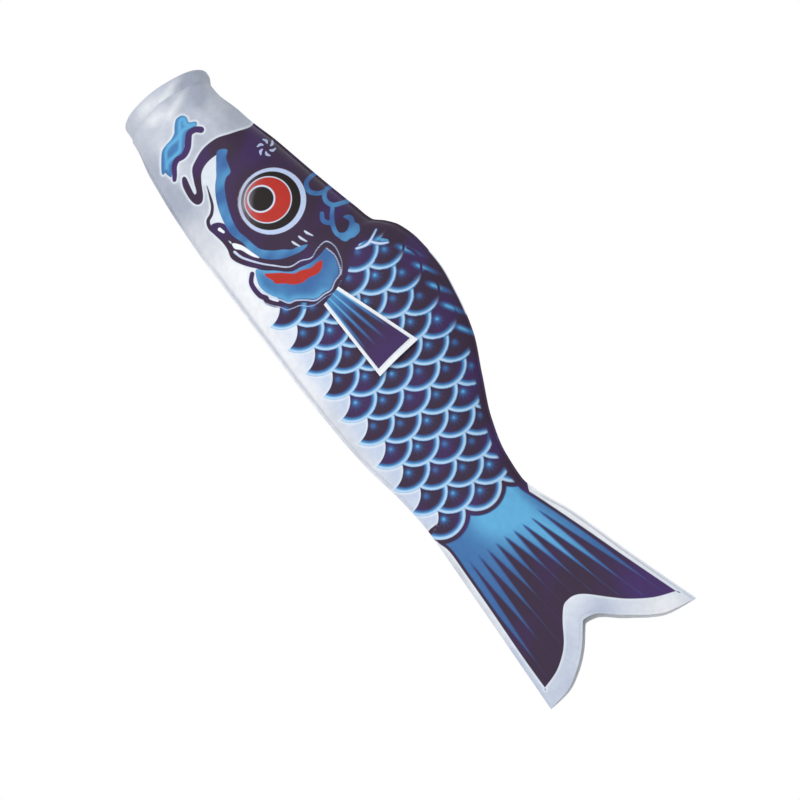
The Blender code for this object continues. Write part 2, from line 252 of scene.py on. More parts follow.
def patch(at: Array, outline: Points, smooth: bool = True) -> Array:
    """Field of a closed shape: the distance to its outline, positive inside.

    Args:
        at: places, n by 2.
        outline: points round the shape.
        smooth: whether the outline is rounded through its points.

    Returns:
        The field. A place is inside if a level ray from it crosses the outline an odd number of times.
    """
    line = rounded(outline, closed=True) if smooth else np.array([*outline, outline[0]], float)

    def work(places: Array) -> Array:
        """Signed distance to the outline."""
        distance, _ = nearest(places, line)
        x, y = places.T
        inside = np.zeros(len(places), bool)
        for (ax, ay), (bx, by) in zip(line[:-1], line[1:]):
            if ay != by:
                inside ^= ((ay > y) != (by > y)) & (x < (bx - ax) * (y - ay) / (by - ay) + ax)
        return np.where(inside, distance, -distance)

    return near_only(at, line, FAR / 2, work)


def stroke(at: Array, route: Points, widths: Sequence[float]) -> Array:
    """Field of a brush stroke along a smooth route, with its full widths spread evenly along it."""
    line = rounded(route)

    def work(places: Array) -> Array:
        """Half the brush's width less the distance to its route."""
        distance, share = nearest(places, line)
        return np.interp(share, np.linspace(0, 1, len(widths)), widths) / 2 - distance

    return near_only(at, line, FAR / 2, work)


def disc(at: Array, centre: tuple[float, float], radius: float) -> Array:
    """Field of a round patch."""
    return radius - np.hypot(*(at - np.array(centre)).T)


def union(*fields: Array) -> Array:
    """Field of everything that lies in any of the shapes."""
    return np.maximum.reduce(fields)


def without(shape: Array, *cuts: Array) -> Array:
    """Field of a shape with others cut out of it."""
    return np.minimum.reduce([shape, *(-cut for cut in cuts)])


# ----------------------------------------------------------------------------- body shape


@dataclass(frozen=True)
class BodyShape:
    """Outline and sections of the wind-filled body, as in the CAD model."""

    back: Points = (
        (0.0, MOUTH_RADIUS),
        (trunk(0.100), between(MOUTH_RADIUS, HEAD_TOP, 0.05)),
        (trunk(0.190), between(MOUTH_RADIUS, HEAD_TOP, 0.32)),
        (trunk(0.285), between(MOUTH_RADIUS, HEAD_TOP, 0.58)),
        (trunk(0.380), between(MOUTH_RADIUS, HEAD_TOP, 0.87)),
        (trunk(0.418), HEAD_TOP),
        (trunk(0.436), between(HEAD_TOP, HUMP_TOP, 0.35)),
        (trunk(0.459), between(HEAD_TOP, HUMP_TOP, 0.67)),
        (trunk(0.504), between(HEAD_TOP, HUMP_TOP, 0.92)),
        (trunk(0.562), HUMP_TOP),
        (trunk(0.629), between(TAIL_ROOT_TOP, HUMP_TOP, 0.93)),
        (trunk(0.705), between(TAIL_ROOT_TOP, HUMP_TOP, 0.775)),
        (trunk(0.781), between(TAIL_ROOT_TOP, HUMP_TOP, 0.483)),
        (trunk(0.860), between(TAIL_ROOT_TOP, HUMP_TOP, 0.183)),
        (trunk(0.928), between(TAIL_ROOT_TOP, HUMP_TOP, 0.033)),
        (trunk(0.985), TAIL_ROOT_TOP),
        (tail(0.080), between(TAIL_ROOT_TOP, TAIL_TIP_TOP, 0.10)),
        (tail(0.235), between(TAIL_ROOT_TOP, TAIL_TIP_TOP, 0.29)),
        (tail(0.600), between(TAIL_ROOT_TOP, TAIL_TIP_TOP, 0.62)),
        (tail(1.000), TAIL_TIP_TOP),
    )
    belly: Points = (
        (0.0, MOUTH_RADIUS),
        (trunk(0.100), between(MOUTH_RADIUS, BELLY_DEPTH, 0.45)),
        (trunk(0.190), between(MOUTH_RADIUS, BELLY_DEPTH, 0.80)),
        (trunk(0.320), BELLY_DEPTH),
        (trunk(0.570), BELLY_DEPTH),
        (trunk(0.705), between(TAIL_ROOT_BOTTOM, BELLY_DEPTH, 0.87)),
        (trunk(0.790), between(TAIL_ROOT_BOTTOM, BELLY_DEPTH, 0.66)),
        (trunk(0.880), between(TAIL_ROOT_BOTTOM, BELLY_DEPTH, 0.20)),
        (trunk(0.960), TAIL_ROOT_BOTTOM),
        (tail(0.050), between(TAIL_ROOT_BOTTOM, TAIL_TIP_BOTTOM, 0.12)),
        (tail(1.000), TAIL_TIP_BOTTOM),
    )
    width: Points = (
        (0.0, MOUTH_RADIUS),
        (trunk(0.100), MOUTH_RADIUS),
        (trunk(0.290), between(HUMP_HALF_WIDTH, MOUTH_RADIUS, 0.75)),
        (trunk(0.420), between(HUMP_HALF_WIDTH, MOUTH_RADIUS, 0.39)),
        (trunk(0.570), HUMP_HALF_WIDTH),
        (trunk(0.720), between(TAIL_ROOT_HALF_WIDTH, HUMP_HALF_WIDTH, 0.68)),
        (trunk(0.860), between(TAIL_ROOT_HALF_WIDTH, HUMP_HALF_WIDTH, 0.32)),
        (trunk(0.980), TAIL_ROOT_HALF_WIDTH),
        (tail(0.250), between(TAIL_TIP_HALF_WIDTH, TAIL_ROOT_HALF_WIDTH, 0.42)),
        (tail(1.000), TAIL_TIP_HALF_WIDTH),
    )
    sharpness: Points = (
        (0.0, 1.0),
        (trunk(0.120), 1.0),
        (trunk(0.290), 1.08),
        (trunk(0.500), 1.30),
        (trunk(1.000), 1.50),
        (tail(1.000), 1.60),
    )
    fork: Points = (
        (0.000, 0.00),
        (0.120, 0.07),
        (0.250, 0.31),
        (0.360, 0.62),
        (0.430, 0.87),
        (0.475, 1.00),
        (0.540, 0.96),
        (0.660, 0.60),
        (0.850, 0.12),
        (1.000, 0.02),
    )

    def top(self, station: Array) -> Array:
        """Height of the back seam."""
        return smooth_curve(self.back, station)

    def bottom(self, station: Array) -> Array:
        """Height of the belly seam."""
        return -smooth_curve(self.belly, station)

    def point(self, station: Array, turn: Array, side: Side, inset: Array | float = 0.0) -> Array:
        """Point on the outside of one cloth side.

        Args:
            station: place along the body.
            turn: 0 at the belly seam, 1 at the back seam.
            side: which cloth.
            inset: how far the point lies towards the middle plane.

        Returns:
            The points. The height goes as the cosine of half a circle, and the half width as its sine
            to the power of the sharpness.
        """
        low, high = self.bottom(station), self.top(station)
        height = low + (high - low) * (1 - np.cos(math.pi * turn)) / 2
        power = smooth_curve(self.sharpness, station)
        half = smooth_curve(self.width, station) * np.sin(math.pi * turn).clip(0) ** power
        across = side.value * (SEAM_OFFSET + half - inset)
        return np.stack([station + 0 * turn, across + 0 * station, height + 0 * across], -1)

    def turn_at(self, station: Array, height: Array) -> Array:
        """Turn at which the section reaches a height."""
        low, high = self.bottom(station), self.top(station)
        return np.arccos(1 - 2 * (height - low) / (high - low)) / math.pi

    def trailing_edge(self, turn: Array) -> Array:
        """Station of the tail's forked edge at each turn."""
        share = (1 - np.cos(math.pi * turn)) / 2
        return TIP_STATION - FORK_DEPTH * smooth_curve(self.fork, share)


BODY = BodyShape()


def grid_normals(points: Array, side: Side, wrapped: bool = False) -> Array:
    """Unit normals of a grid, pointing away from the body: the cross product of its two slopes."""
    if wrapped:
        ring = np.concatenate([points[-2:-1], points, points[1:2]])
        down = (ring[2:] - ring[:-2]) / 2
    else:
        down = np.gradient(points, axis=0)
    normal = np.cross(down, np.gradient(points, axis=1)) * -side.value
    return normal / np.linalg.norm(normal, axis=-1, keepdims=True).clip(1e-12)


@dataclass(frozen=True)
class Relief:
    """Soft folds of the blown cloth, as heights along its normals."""

    gather: float = 0.00035
    gathers_round: int = 17
    neck_fold: float = 0.0016
    crease: float = 0.0011
    drift: float = 0.0006

    def height(self, station: Array, turn: Array, side: Side) -> Array:
        """Height of the folds at each place.

        Gathers run back from the mouth hem and die out, two long folds run from the hoop towards the
        head, short slanting creases lie along the belly, and a slow drift of three waves covers all.
        All of them die out at the seams and at the front edge.
        """
        mirror = 1.0 if side is Side.LEFT else -1.0
        edge = np.sin(math.pi * turn).clip(0)
        start = smooth_step(HEM_LENGTH, HEM_LENGTH + 0.012, station)
        gathers = self.gather * np.cos(2 * math.pi * self.gathers_round * turn / 2)
        gathers = gathers * np.exp(-(station - HEM_LENGTH).clip(0) / 0.012)
        slope = (station - HEM_LENGTH) * 1.4
        folds = bump_at(turn, 0.66, 0.045) - 0.6 * bump_at(turn, 0.56 + 0.02 * mirror, 0.05)
        folds = folds + 0.7 * bump_at(turn, 0.36 - 0.3 * slope, 0.05) - 0.5 * bump_at(turn, 0.26, 0.04)
        folds = self.neck_fold * folds * start * np.exp(-(((station - 0.03) / 0.05) ** 2))
        low = smooth_step(0.0, 0.03, turn) * (1 - smooth_step(0.07, 0.17, turn))
        slant = station * 1.0 + turn * 0.16
        creases = sum(
            bump_at(slant, place, spread) * size
            for place, spread, size in (
                (0.148, 0.006, 0.6),
                (0.178, 0.004, -0.5),
                (0.236, 0.007, 0.9),
                (0.262, 0.004, -0.7),
                (0.302, 0.005, 0.7),
                (0.350, 0.004, 1.0),
                (0.371, 0.003, -1.0),
                (0.398, 0.004, 0.9),
                (0.430, 0.004, -0.6),
                (0.468, 0.005, 0.6),
            )
        )
        creases = self.crease * creases * low
        waves = np.sin(34 * station + 5 * turn) + np.sin(21 * station - 9 * turn + 1.7 * mirror)
        waves = self.drift * (waves + 0.6 * np.sin(57 * station + 13 * turn + 0.6)) / 2
        return gathers * edge**0.5 + (folds + waves * start) * edge + creases


RELIEF = Relief()


def mouth_folds(station: Array, around: Array) -> Array:
    """Broad folds of the cloth round the mouth, as waves round the ring that die out behind the neck.

    Args:
        station: place along the body.
        around: angle round the mouth, 0 at the belly.

    Returns:
        Heights along the cloth's normals.
    """
    waves = 0.0009 * np.cos(5 * around + 0.8) + 0.0007 * np.cos(8 * around - 0.6)
    waves = waves + 0.0003 * np.cos(13 * around)
    rise = smooth_step(0.0045, 0.0130, station)
    return waves * rise * np.exp(-((station - HEM_LENGTH).clip(0) / 0.034) ** 1.5)


def neck_pull(station: Array, around: Array) -> Array:
    """Depth by which the cloth is drawn in behind the hoop, most of it at the back seam."""
    up = -np.cos(around)
    depth = 0.0040 * smooth_step(0.0, 1.0, up) + 0.0011 * smooth_step(0.0, 1.0, -up)
    return depth * smooth_step(0.0040, 0.0165, station) * (1 - smooth_step(0.020, 0.060, station))


def drawn_in(station: Array, around: Array) -> Array:
    """Height that the mouth's folds and the draw-in behind the hoop give the cloth together."""
    return mouth_folds(station, around) - neck_pull(station, around)


def painted_cloth_shade(at: Array) -> Array:
    """Share of painted shade on the bare cloth at each (station, height) place.

    The painted shade is heavy round the mouth and light along the belly. It has painted highlights as
    lighter patches on the folds behind the hoop, and heavier painted shade on the crown and on the tail's
    margin. Each patch is an oval: its strength, station, height, reach along and across, and how far it
    leans forwards as it rises.
    """
    u, v = at.T
    patches = (
        (-0.55, 0.007, -0.019, 0.0070, 0.012, 0.00),
        (-0.50, 0.009, 0.006, 0.0045, 0.016, 0.45),
        (-0.45, 0.030, -0.004, 0.0160, 0.006, -0.30),
        (-0.35, 0.042, -0.030, 0.0200, 0.007, 0.00),
        (0.35, 0.018, 0.026, 0.0100, 0.010, 0.00),
        (0.25, 0.020, -0.006, 0.0060, 0.008, 0.00),
        (0.30, 0.086, -0.045, 0.0300, 0.010, 0.00),
        (0.55, 0.655, 0.034, 0.0220, 0.020, 0.00),
        (0.35, 0.665, -0.004, 0.0160, 0.014, 0.00),
    )
    shade = 0.80 * (1 - smooth_step(0.085, 0.185, u))
    shade = shade + 0.12 * np.sin(95 * u + 60 * v) * np.sin(80 * v - 31 * u)
    for strength, u0, v0, along, across, lean in patches:
        shade = shade + strength * bump_at(u + lean * (v - v0), u0, along) * bump_at(v, v0, across)
    shade = shade + 0.40 * smooth_step(0.27, 0.37, u) * smooth_step(0.0, -0.03, v)
    shade = shade + 0.20 * smooth_step(0.60, 0.66, u)
    shade = shade + 0.30 * smooth_step(0.010, 0.0, u) * bump_at(v, 0.040, 0.012)
    return np.clip(shade, 0, 1)


# --------------------------------------------------------------------------------- print


@dataclass
class PrintField:
    """Fields and shares worked out for a set of places on the cloth."""

    at: Array
    layers: dict[Layer, Array] = field(default_factory=dict)
    tints: dict[Tint, Array] = field(default_factory=dict)

    def __post_init__(self) -> None:
        """Starts with bare cloth."""
        self.layers = {layer: np.full(len(self.at), -FAR) for layer in Layer}
        self.tints = {tint: np.zeros(len(self.at)) for tint in Tint}

    def add(self, layer: Layer, shape: Array) -> None:
        """Joins a shape to a layer."""
        self.layers[layer] = union(self.layers[layer], shape)

    def cut(self, layer: Layer, shape: Array) -> None:
        """Takes a shape out of a layer."""
        self.layers[layer] = without(self.layers[layer], shape)

    def shade(self, tint: Tint, share: Array, where: Array | None = None) -> None:
        """Sets a share, everywhere or only inside a shape."""
        if where is None:
            self.tints[tint] = np.maximum(self.tints[tint], share)
        else:
            self.tints[tint] = np.where(where > 0, share, self.tints[tint])

    def stored(self) -> dict[str, Array]:
        """Every field and share, under the name by which a mesh stores it."""
        return {key.value: values for key, values in (*self.layers.items(), *self.tints.items())}


def purple_clouds(at: Array) -> Array:
    """Slow patches where the ink is more purple: a product of three crossed waves."""
    u, v = at.T
    waves = np.sin(61 * u + 40 * v) * np.sin(83 * v - 29 * u + 1.0) + 0.6 * np.sin(113 * u + 71 * v + 2.0)
    return smooth_step(-0.3, 1.1, waves)


@dataclass(frozen=True)
class ScalePrint:
    """Rows of overlapping scales, each with a pale rim, a blue edge and a bright spot at its root.

    The row under the lowest one is left unprinted, and only hides what lies behind it.
    """

    first: tuple[float, float] = (0.2577, -0.0286)
    row: tuple[float, float] = (0.0285, 0.0)
    rise: tuple[float, float] = (0.01367, 0.02157)
    dark_radius: float = 0.0200
    rim_radius: float = 0.0233
    edge_glow: float = 0.0038
    spot_reach: float = 0.0044
    spot_size: float = 0.0026
    rows: tuple[tuple[int, int, int], ...] = (
        (0, -1, 8), (1, -1, 7), (2, -2, 7), (3, -3, 6), (4, -4, 6), (5, -4, 5),
    )
    hidden_row: tuple[int, int, int] = (-1, -2, 9)
    fades_at: tuple[float, float] = (0.2295, 0.0890)
    fade_reach: float = 0.0085
    flame_roots: Points = (
        (0.2555, 0.0940), (0.2790, 0.0960), (0.3025, 0.0955), (0.3270, 0.0945), (0.3520, 0.0920),
    )

    def centres(self) -> Array:
        """Centres of the scales' arcs with their row numbers, the nearest to the head first."""
        made = [
            (
                self.first[0] + i * self.row[0] + j * self.rise[0],
                self.first[1] + i * self.row[1] + j * self.rise[1],
                j,
            )
            for j, start, end in (self.hidden_row, *self.rows)
            for i in range(start, end + 1)
        ]
        return np.array(sorted(made))

    def draw(self, print_field: PrintField) -> Array:
        """Adds the scales: a scale's dark part is its disc, less the rimmed discs nearer the head.

        Args:
            print_field: the fields to add to.

        Returns:
            The field of the whole scaled area, rims included.
        """
        at = print_field.at
        count = len(at)
        cover = np.full(count, np.inf)
        area, ink = np.full(count, -FAR), np.full(count, -FAR)
        bloom, spots, blue = np.zeros(count), np.zeros(count), np.zeros(count)
        for *centre, row in self.centres():
            offset = at - centre
            radius = np.hypot(*offset.T)
            if row >= 0:
                ink = np.maximum(ink, np.minimum(self.dark_radius - radius, cover))
                area = np.maximum(area, np.minimum(self.rim_radius - radius, cover))
                inside = (cover > 0) & (radius < self.rim_radius)
                glow = smooth_step(self.dark_radius - self.edge_glow, self.dark_radius + 0.0002, radius)
                outer = 1 - smooth_step(self.dark_radius, self.dark_radius + 0.0018, radius)
                outer = outer + 0.6 * smooth_step(self.rim_radius - 0.0012, self.rim_radius, radius)
                start = offset - np.array([self.spot_reach, 0])
                away = np.hypot(*start.T)
                spot = 0.66 * bump_at(away, 0, self.spot_size) + 0.28 * bump_at(away, 0, 0.0060)
                rays = 0.6 + 0.4 * np.cos(11 * np.arctan2(start[:, 1], start[:, 0]))
                tailwards = rays * bump_at(away, 0, 0.0105) * smooth_step(-0.002, 0.004, start[:, 0])
                strength = 0.80 + 0.20 * math.sin(311 * centre[0] + 170 * centre[1])
                bloom = np.where(inside, 0.8 * glow, bloom)
                spots = np.where(inside, (spot + 0.22 * tailwards) * strength, spots)
                blue = np.where(inside, outer, blue)
            cover = np.minimum(cover, radius - self.rim_radius)
        u, v = at.T
        height = BODY.top(np.clip(u, 0, TIP_STATION)) - v
        fade = smooth_step(0.0030, 0.0085, height) * (1 - smooth_step(0.0820, 0.0945, v))
        away = np.hypot(*(at - np.array(self.fades_at)).T)
        fade = fade * (1 - bump_at(away, 0, self.fade_reach))
        flames = self.flames(at)
        mantle = np.minimum.reduce([v - 0.066, u - 0.200, 0.450 - u, 0.0008 - area])
        print_field.add(Layer.INK, union(ink, mantle))
        print_field.add(Layer.SKY, area)
        print_field.shade(Tint.COOL, blue, area)
        print_field.shade(Tint.FADE, np.maximum(1 - fade, 0), area)
        bloom = bloom * fade + spots * (0.30 + 0.70 * fade) + flames
        print_field.shade(Tint.BLOOM, np.clip(bloom, 0, 1), np.where(flames > 0.05, 1.0, area))
        return area

    def flames(self, at: Array) -> Array:
        """Blue smudges where the rows run out under the back, each drawn out towards the tail."""
        share = np.zeros(len(at))
        for u, v in self.flame_roots:
            along, across = at[:, 0] - u, at[:, 1] - v
            along, across = along * 0.86 + across * 0.5, across * 0.86 - along * 0.5
            long = np.where(along > 0, 0.0165, 0.0070)
            share = np.maximum(share, 0.95 * np.exp(-((along / long) ** 2) - (across / 0.0028) ** 2))
        return share


@dataclass(frozen=True)
class EyePrint:
    """Round eye: pale halo, black ring, red iris with a pale edge, and a black pupil with a pale ring."""

    halo: tuple[tuple[float, float], float] = ((0.1415, 0.0230), 0.0322)
    ring: tuple[tuple[float, float], float] = ((0.1405, 0.0222), 0.0284)
    iris: tuple[tuple[float, float], float] = ((0.1380, 0.0205), 0.0228)
    iris_edge: float = 0.0010
    pupil: tuple[tuple[float, float], float] = ((0.1333, 0.0160), 0.0118)
    pupil_edge: float = 0.0016
    shine_from: float = math.radians(-128)

    def draw(self, print_field: PrintField) -> None:
        """Adds the eye to the pale, red and black layers, and a grey shine to its rear lower edge."""
        at = print_field.at
        halo, ring = disc(at, *self.halo), disc(at, *self.ring)
        iris, pupil = disc(at, *self.iris), disc(at, *self.pupil)
        print_field.cut(Layer.PALE, halo)
        print_field.add(Layer.PALE, halo)
        print_field.add(Layer.BLACK, union(without(ring, iris), pupil))
        print_field.add(Layer.RED, without(iris - self.iris_edge, pupil + self.pupil_edge))
        print_field.shade(Tint.COOL, 0.40 + 0.35 * smooth_step(-0.001, 0.001, -ring), halo)
        offset = at - np.array(self.ring[0])
        turn = np.arctan2(offset[:, 1], offset[:, 0]) - self.shine_from
        turn = np.abs((turn + math.pi) % (2 * math.pi) - math.pi)
        radius = np.hypot(*offset.T)
        hatch = 0.8 + 0.2 * np.sin(700 * (at[:, 0] + at[:, 1]))
        shine = np.exp(-((turn / 0.70) ** 2)) * smooth_step(0.0150, 0.0240, radius) * hatch
        print_field.shade(Tint.VEIL, np.where(halo > -0.0006, 0.62 * shine, 0))


@dataclass(frozen=True)
class HeadPrint:
    """Face of the carp: whisker, nose wave, cheek bands, lips, gill cover, crest and scrolls."""

    face: Points = (
        (0.071, 0.0625), (0.112, 0.080), (0.1665, 0.0975), (0.208, 0.112), (0.219, 0.0905), (0.2255, 0.072),
        (0.2275, 0.059), (0.235, 0.0465), (0.2435, 0.037), (0.250, 0.024), (0.251, 0.0115), (0.248, -0.0005),
        (0.2405, -0.010), (0.235, -0.0165), (0.229, -0.0220), (0.2150, -0.0260), (0.2000, -0.0250),
        (0.1910, -0.0235), (0.1860, -0.0262), (0.1755, -0.0318), (0.168, -0.036), (0.1615, -0.037),
        (0.154, -0.0355), (0.150, -0.031), (0.135, -0.026), (0.121, -0.023), (0.1085, -0.0185),
        (0.0975, -0.012), (0.089, -0.0045), (0.0825, 0.0), (0.0745, 0.0080), (0.068, 0.0185),
        (0.0655, 0.0325), (0.070, 0.048),
    )
    whisker: Points = (
        (0.0775, 0.0575), (0.0685, 0.0425), (0.0635, 0.0290), (0.0592, 0.0165), (0.0595, 0.0015),
        (0.064, -0.0105), (0.0695, -0.019), (0.081, -0.025), (0.0895, -0.0285), (0.0898, -0.0312),
        (0.081, -0.0297), (0.0725, -0.0280), (0.0698, -0.0295), (0.0715, -0.0325), (0.0785, -0.0358),
        (0.0915, -0.0375), (0.0995, -0.0355), (0.1010, -0.0305), (0.0965, -0.0255), (0.0855, -0.0195),
        (0.0775, -0.0135), (0.0732, -0.0045), (0.0725, 0.0075), (0.0760, 0.0205), (0.0860, 0.0400),
    )
    cheek_band: Points = (
        (0.0700, 0.0100), (0.0825, 0.0), (0.089, -0.0045), (0.0975, -0.012), (0.1085, -0.0185),
        (0.121, -0.023), (0.135, -0.026), (0.1455, -0.026), (0.157, -0.0225), (0.1665, -0.022),
        (0.178, -0.0185), (0.1855, -0.012), (0.192, -0.003), (0.196, 0.0075), (0.198, 0.0175),
        (0.1965, 0.0250), (0.1925, 0.0170), (0.191, 0.0105), (0.1855, 0.0035), (0.1805, -0.0045),
        (0.1725, -0.0125), (0.1635, -0.0155), (0.1545, -0.017), (0.145, -0.019), (0.1335, -0.0175),
        (0.122, -0.014), (0.1115, -0.0095), (0.1015, -0.004), (0.0960, 0.0020), (0.0945, 0.0080),
        (0.0885, 0.0105), (0.0805, 0.013), (0.0745, 0.0185),
    )
    cheek_white: Points = (
        (0.0715, 0.008), (0.0735, -0.004), (0.078, -0.013), (0.0865, -0.0195), (0.0905, -0.017),
        (0.101, -0.020), (0.1105, -0.0235), (0.1175, -0.0305), (0.124, -0.0335), (0.131, -0.025),
        (0.135, -0.0235), (0.121, -0.0205), (0.1085, -0.0160), (0.0975, -0.010), (0.089, -0.0025),
        (0.080, 0.003),
    )
    gill: Points = (
        (0.1855, -0.028), (0.1945, -0.033), (0.2015, -0.0345), (0.2085, -0.0335), (0.2165, -0.030),
        (0.223, -0.0255), (0.2305, -0.0215), (0.232, -0.015), (0.2375, -0.007), (0.2435, 0.0005),
        (0.2435, 0.010), (0.2445, 0.017), (0.240, 0.024), (0.2375, 0.0315), (0.2305, 0.0355),
        (0.2205, 0.038), (0.2105, 0.036), (0.2115, 0.0295), (0.2125, 0.018), (0.210, 0.007),
        (0.2075, -0.003), (0.198, -0.0135), (0.191, -0.022),
    )
    gill_white: Points = (
        (0.2015, -0.0365), (0.209, -0.0345), (0.2175, -0.031), (0.2235, -0.0265), (0.231, -0.022),
        (0.233, -0.0155), (0.2385, -0.008), (0.2447, -0.0005), (0.245, 0.0095), (0.2457, 0.017),
        (0.2412, 0.0245), (0.2385, 0.0325), (0.2315, 0.0365), (0.2205, 0.039), (0.210, 0.0367),
    )
    gill_line: Points = (
        (0.1865, -0.033), (0.1925, -0.0385), (0.200, -0.040), (0.2085, -0.0392), (0.2135, -0.0365),
        (0.217, -0.0372), (0.2245, -0.0325), (0.2290, -0.0265), (0.2330, -0.0255), (0.2365, -0.018),
        (0.2445, -0.0095), (0.2485, -0.0005), (0.248, 0.0105), (0.249, 0.0215), (0.2435, 0.0315),
        (0.2345, 0.0405),
    )
    jaw_white: Points = (
        (0.159, -0.0338), (0.1685, -0.031), (0.1825, -0.0215), (0.192, -0.013), (0.203, -0.0015),
        (0.205, 0.0105), (0.209, 0.020), (0.2055, 0.0295), (0.2045, 0.040), (0.2125, 0.044),
        (0.222, 0.043), (0.2320, 0.0395), (0.2400, 0.0330),
    )
    gill_scallop: Points = (
        (0.2110, -0.0408), (0.2175, -0.0392), (0.2240, -0.0352), (0.2295, -0.0305), (0.2350, -0.0275),
        (0.2375, -0.0215), (0.2396, -0.0150), (0.2452, -0.0092), (0.2478, -0.0030), (0.2478, 0.0083),
        (0.2490, 0.0190), (0.2440, 0.0300),
    )
    gill_red: Points = (
        (0.194, -0.0235), (0.198, -0.0175), (0.2035, -0.010), (0.211, -0.0015), (0.2125, 0.005),
        (0.2165, 0.014), (0.216, 0.021), (0.217, 0.0265), (0.2225, 0.023), (0.225, 0.0155),
        (0.223, 0.008), (0.223, -0.0005), (0.2195, -0.008), (0.2165, -0.0110), (0.213, -0.0145),
        (0.208, -0.021), (0.2035, -0.0215), (0.1975, -0.024),
    )
    lips: Points = (
        (0.0905, -0.017), (0.1005, -0.0205), (0.110, -0.0245), (0.116, -0.030), (0.119, -0.036),
        (0.1255, -0.0385), (0.1335, -0.037), (0.1445, -0.035), (0.154, -0.035), (0.163, -0.037),
        (0.175, -0.0315), (0.1855, -0.0235),
    )
    lip_widths: tuple[float, ...] = (0.0008, 0.0026, 0.0032, 0.0036, 0.0040, 0.0050, 0.0060, 0.0052, 0.0040)
    nostril: Points = (
        (0.1245, -0.0365), (0.1255, -0.0305), (0.130, -0.0262), (0.136, -0.0248), (0.1455, -0.0258),
        (0.1560, -0.0222), (0.1535, -0.0275), (0.1445, -0.033), (0.1335, -0.037),
    )
    teeth: Points = (
        (0.1510, -0.0305), (0.1585, -0.0245), (0.170, -0.0208), (0.1785, -0.0185), (0.172, -0.0235),
        (0.162, -0.0275), (0.1565, -0.0318),
    )
    wave_line: Points = (
        (0.0435, 0.0100), (0.0400, 0.0060), (0.0395, -0.0005), (0.0445, -0.0055), (0.0500, -0.0105),
        (0.0535, -0.0175), (0.0530, -0.0250), (0.0565, -0.0305), (0.0630, -0.0350), (0.0670, -0.0380),
    )
    wave_widths: tuple[float, ...] = (0.0064, 0.0060, 0.0062, 0.0066, 0.0062, 0.0058, 0.0054, 0.0050, 0.0040)
    wave_blue: Points = (
        (0.0255, -0.008), (0.0205, -0.0025), (0.021, 0.004), (0.0255, 0.0065), (0.0305, 0.0055),
        (0.034, 0.011), (0.0375, 0.0095), (0.0375, 0.0035), (0.038, -0.0025), (0.0435, -0.0085),
        (0.050, -0.0155), (0.0515, -0.024), (0.054, -0.031), (0.063, -0.0385), (0.059, -0.0405),
        (0.056, -0.041), (0.0565, -0.0435), (0.0525, -0.043), (0.0385, -0.0325), (0.035, -0.0255),
        (0.0335, -0.018), (0.0305, -0.012),
    )
    scrolls: tuple[Points, ...] = (
        (
            (0.1450, 0.0720), (0.1450, 0.0655), (0.1475, 0.0585), (0.1555, 0.0560), (0.1620, 0.0610),
            (0.1645, 0.0670),
        ),
        (
            (0.1645, 0.0760), (0.1640, 0.0700), (0.1680, 0.0650), (0.1740, 0.0632), (0.1810, 0.0670),
            (0.1860, 0.0800),
        ),
        ((0.1800, 0.0662), (0.1885, 0.0590), (0.1965, 0.0545), (0.2050, 0.0528), (0.2135, 0.0560)),
        ((0.1805, 0.0530), (0.1860, 0.0500), (0.1910, 0.0520), (0.1930, 0.0560)),
    )
    scroll_head: Points = (
        (0.1955, 0.0670), (0.1965, 0.0715), (0.2010, 0.0745), (0.2065, 0.0728), (0.2105, 0.0745),
        (0.2165, 0.0715), (0.2182, 0.0650), (0.2170, 0.0600), (0.2165, 0.0550), (0.2110, 0.0520),
        (0.2060, 0.0545), (0.2085, 0.0590), (0.2075, 0.0640), (0.2030, 0.0690), (0.1985, 0.0680),
    )
    nape: tuple[Points, ...] = (
        ((0.2283, 0.0589), (0.2305, 0.0650), (0.2312, 0.0705), (0.2290, 0.0765), (0.2250, 0.0845)),
        ((0.2300, 0.0730), (0.2350, 0.0762), (0.2392, 0.0806), (0.2422, 0.0862)),
    )
    nape_glow: Points = ((0.2330, 0.0800), (0.2372, 0.0835), (0.2402, 0.0870))
    crest: tuple[float, float] = (0.0960, 0.0490)
    crest_strokes: int = 6
    ticks: tuple[Points, ...] = (
        ((0.1850, 0.0151), (0.1880, 0.0158), (0.1933, 0.0181)),
        ((0.1847, 0.0229), (0.1880, 0.0236), (0.1937, 0.0261)),
        ((0.1841, 0.0303), (0.1870, 0.0310), (0.1926, 0.0338)),
    )

